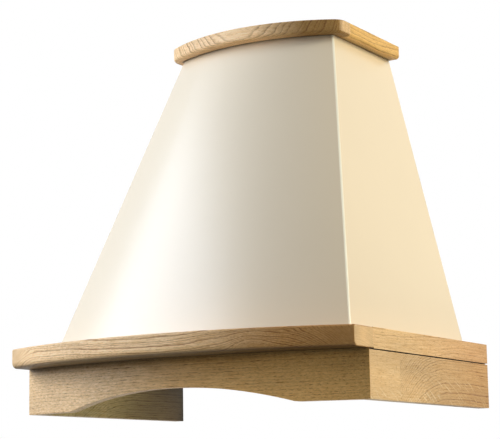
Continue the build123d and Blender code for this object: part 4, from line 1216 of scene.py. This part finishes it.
@dataclass(frozen=True)
class Lamp:
    """A square soft light that looks at the hood's middle."""

    name: str
    azimuth: float
    elevation: float
    distance: float
    width: float
    height: float
    power: float
    colour: Colour = WHITE

    def hang(self, target: Vector) -> None:
        """Put the light in the scene.

        Args:
            target: The point that it looks at.
        """
        data = bpy.data.lights.new(self.name, "AREA")
        data.shape = "RECTANGLE"
        data.size, data.size_y = self.width, self.height
        data.energy = self.power
        data.color = self.colour
        lamp = bpy.data.objects.new(self.name, data)
        bpy.context.scene.collection.objects.link(lamp)
        a, e = math.radians(self.azimuth), math.radians(self.elevation)
        away = Vector((math.sin(a) * math.cos(e), -math.cos(a) * math.cos(e), math.sin(e)))
        lamp.location = target + away * self.distance
        lamp.rotation_mode = "QUATERNION"
        lamp.rotation_quaternion = (-away).to_track_quat("-Z", "Y")


@dataclass
class Studio:
    """The camera, the lights, the white surround and the floor."""

    eye: Triple = (1.3313, -2.3799, -0.5459)
    yaw: float = 0.5528
    pitch: float = 0.1636
    roll: float = 0.0169
    lens: float = 116.52
    target: Triple = (0.0, -0.22, -0.1)
    lamps: tuple[Lamp, ...] = (
        Lamp("key", -49.0, 22.0, 2.6, 2.5, 2.2, 93.0, (0.81, 0.90, 1.06)),
        Lamp("side", 108.0, 17.0, 2.6, 0.6, 1.6, 57.0, (1.0, 0.945, 0.77)),
        Lamp("crest", 70.0, 50.0, 2.6, 0.4, 0.3, 4.0, (1.0, 0.98, 0.92)),
        Lamp("back", 200.0, 30.0, 2.8, 1.6, 1.6, 30.0),
        Lamp("low", 62.0, -52.0, 1.9, 0.7, 0.7, 5.5, (0.92, 1.0, 0.86)),
    )
    surround: float = 0.035
    warmth: Colour = (1.0, 0.90, 0.74)
    floor: float = -2.05
    reach: float = 14.0
    light_grey: Colour = (0.26, 0.26, 0.255)
    dark_grey: Colour = (0.23, 0.23, 0.225)
    horizon: Span = Span(2.5, 9.0, 0.72, 1.0)

    def build(self) -> None:
        """Set the studio up."""
        self.camera()
        self.world()
        self.floor_plane()
        for lamp in self.lamps:
            lamp.hang(Vector(self.target))
        bpy.context.scene.view_settings.view_transform = "Standard"

    def camera(self) -> None:
        """Make the camera at the photograph's viewing angle."""
        data = bpy.data.cameras.new("camera")
        data.sensor_width = 36.0
        data.lens = self.lens
        data.clip_end = 50.0
        camera = bpy.data.objects.new("camera", data)
        bpy.context.scene.collection.objects.link(camera)
        level = Vector((-math.sin(self.yaw), math.cos(self.yaw), 0.0))
        right = Vector((math.cos(self.yaw), math.sin(self.yaw), 0.0))
        up = Vector((0.0, 0.0, 1.0))
        ahead = level * math.cos(self.pitch) + up * math.sin(self.pitch)
        above = up * math.cos(self.pitch) - level * math.sin(self.pitch)
        right, above = (right * math.cos(self.roll) - above * math.sin(self.roll),
                        right * math.sin(self.roll) + above * math.cos(self.roll))
        turn = Matrix((right, above, -ahead)).transposed().to_4x4()
        camera.matrix_world = Matrix.Translation(self.eye) @ turn
        bpy.context.scene.camera = camera

    def world(self) -> None:
        """A soft even surround that the camera, metal and glass see as white."""
        world = bpy.data.worlds.new("surround")
        world.use_nodes = True
        s = Sheet(world.node_tree)
        seen = s.seen()
        strength = s.plus(self.surround, s.times(seen, 1.0 - self.surround))
        tint = s.mix(seen, self.warmth, WHITE)
        light = s.add("ShaderNodeBackground", {"Color": tint, "Strength": strength})
        s.add("ShaderNodeOutputWorld", {"Surface": light.outputs[0]})
        bpy.context.scene.world = world

    def floor_plane(self) -> None:
        """A plain pale floor that lets a view from under it through."""
        mesh = bpy.data.meshes.new("floor")
        square = ((-1, -1), (1, -1), (1, 1), (-1, 1))
        corners = [(x * self.reach, y * self.reach, self.floor) for x, y in square]
        mesh.from_pydata(corners, [], [(0, 1, 2, 3)])
        plane = bpy.data.objects.new("floor", mesh)
        bpy.context.scene.collection.objects.link(plane)
        s = Shader("floor_pale")
        grain = s.noise(s.place, 3.0, 3.0)
        s.set(Base_Color=s.mix(grain, self.light_grey, self.dark_grey), Roughness=0.8)
        white = s.add("ShaderNodeEmission", {"Color": WHITE, "Strength": 1.0}).outputs[0]
        far = s.vector("LENGTH", s.stretched(s.place, (1.0, 1.0, 0.0)))["Value"]
        share = s.times(s.seen(), s.spread(far, self.horizon))
        lit = s.add("ShaderNodeMixShader", {0: share, 1: s.surface.outputs[0], 2: white}).outputs[0]
        clear = s.add("ShaderNodeBsdfTransparent").outputs[0]
        back = s.add("ShaderNodeNewGeometry").outputs["Backfacing"]
        shown = s.add("ShaderNodeMixShader", {0: back, 1: lit, 2: clear}).outputs[0]
        s.feed(shown, s.out.inputs["Surface"])
        mesh.materials.append(s.material)


def main() -> None:
    """Build the studio and dress every sub-assembly."""
    logging.basicConfig(level=logging.INFO, format="%(name)s: %(message)s")
    Studio().build()
    shop = Workshop()
    for part in (Dome, Crown, Ledge, Apron, Fasteners, Filters, Lamps, Controls, Blower, Outlet):
        part(shop).build()
        LOG.info("finished %s", part.__name__)


if __name__ == "__main__":
    main()
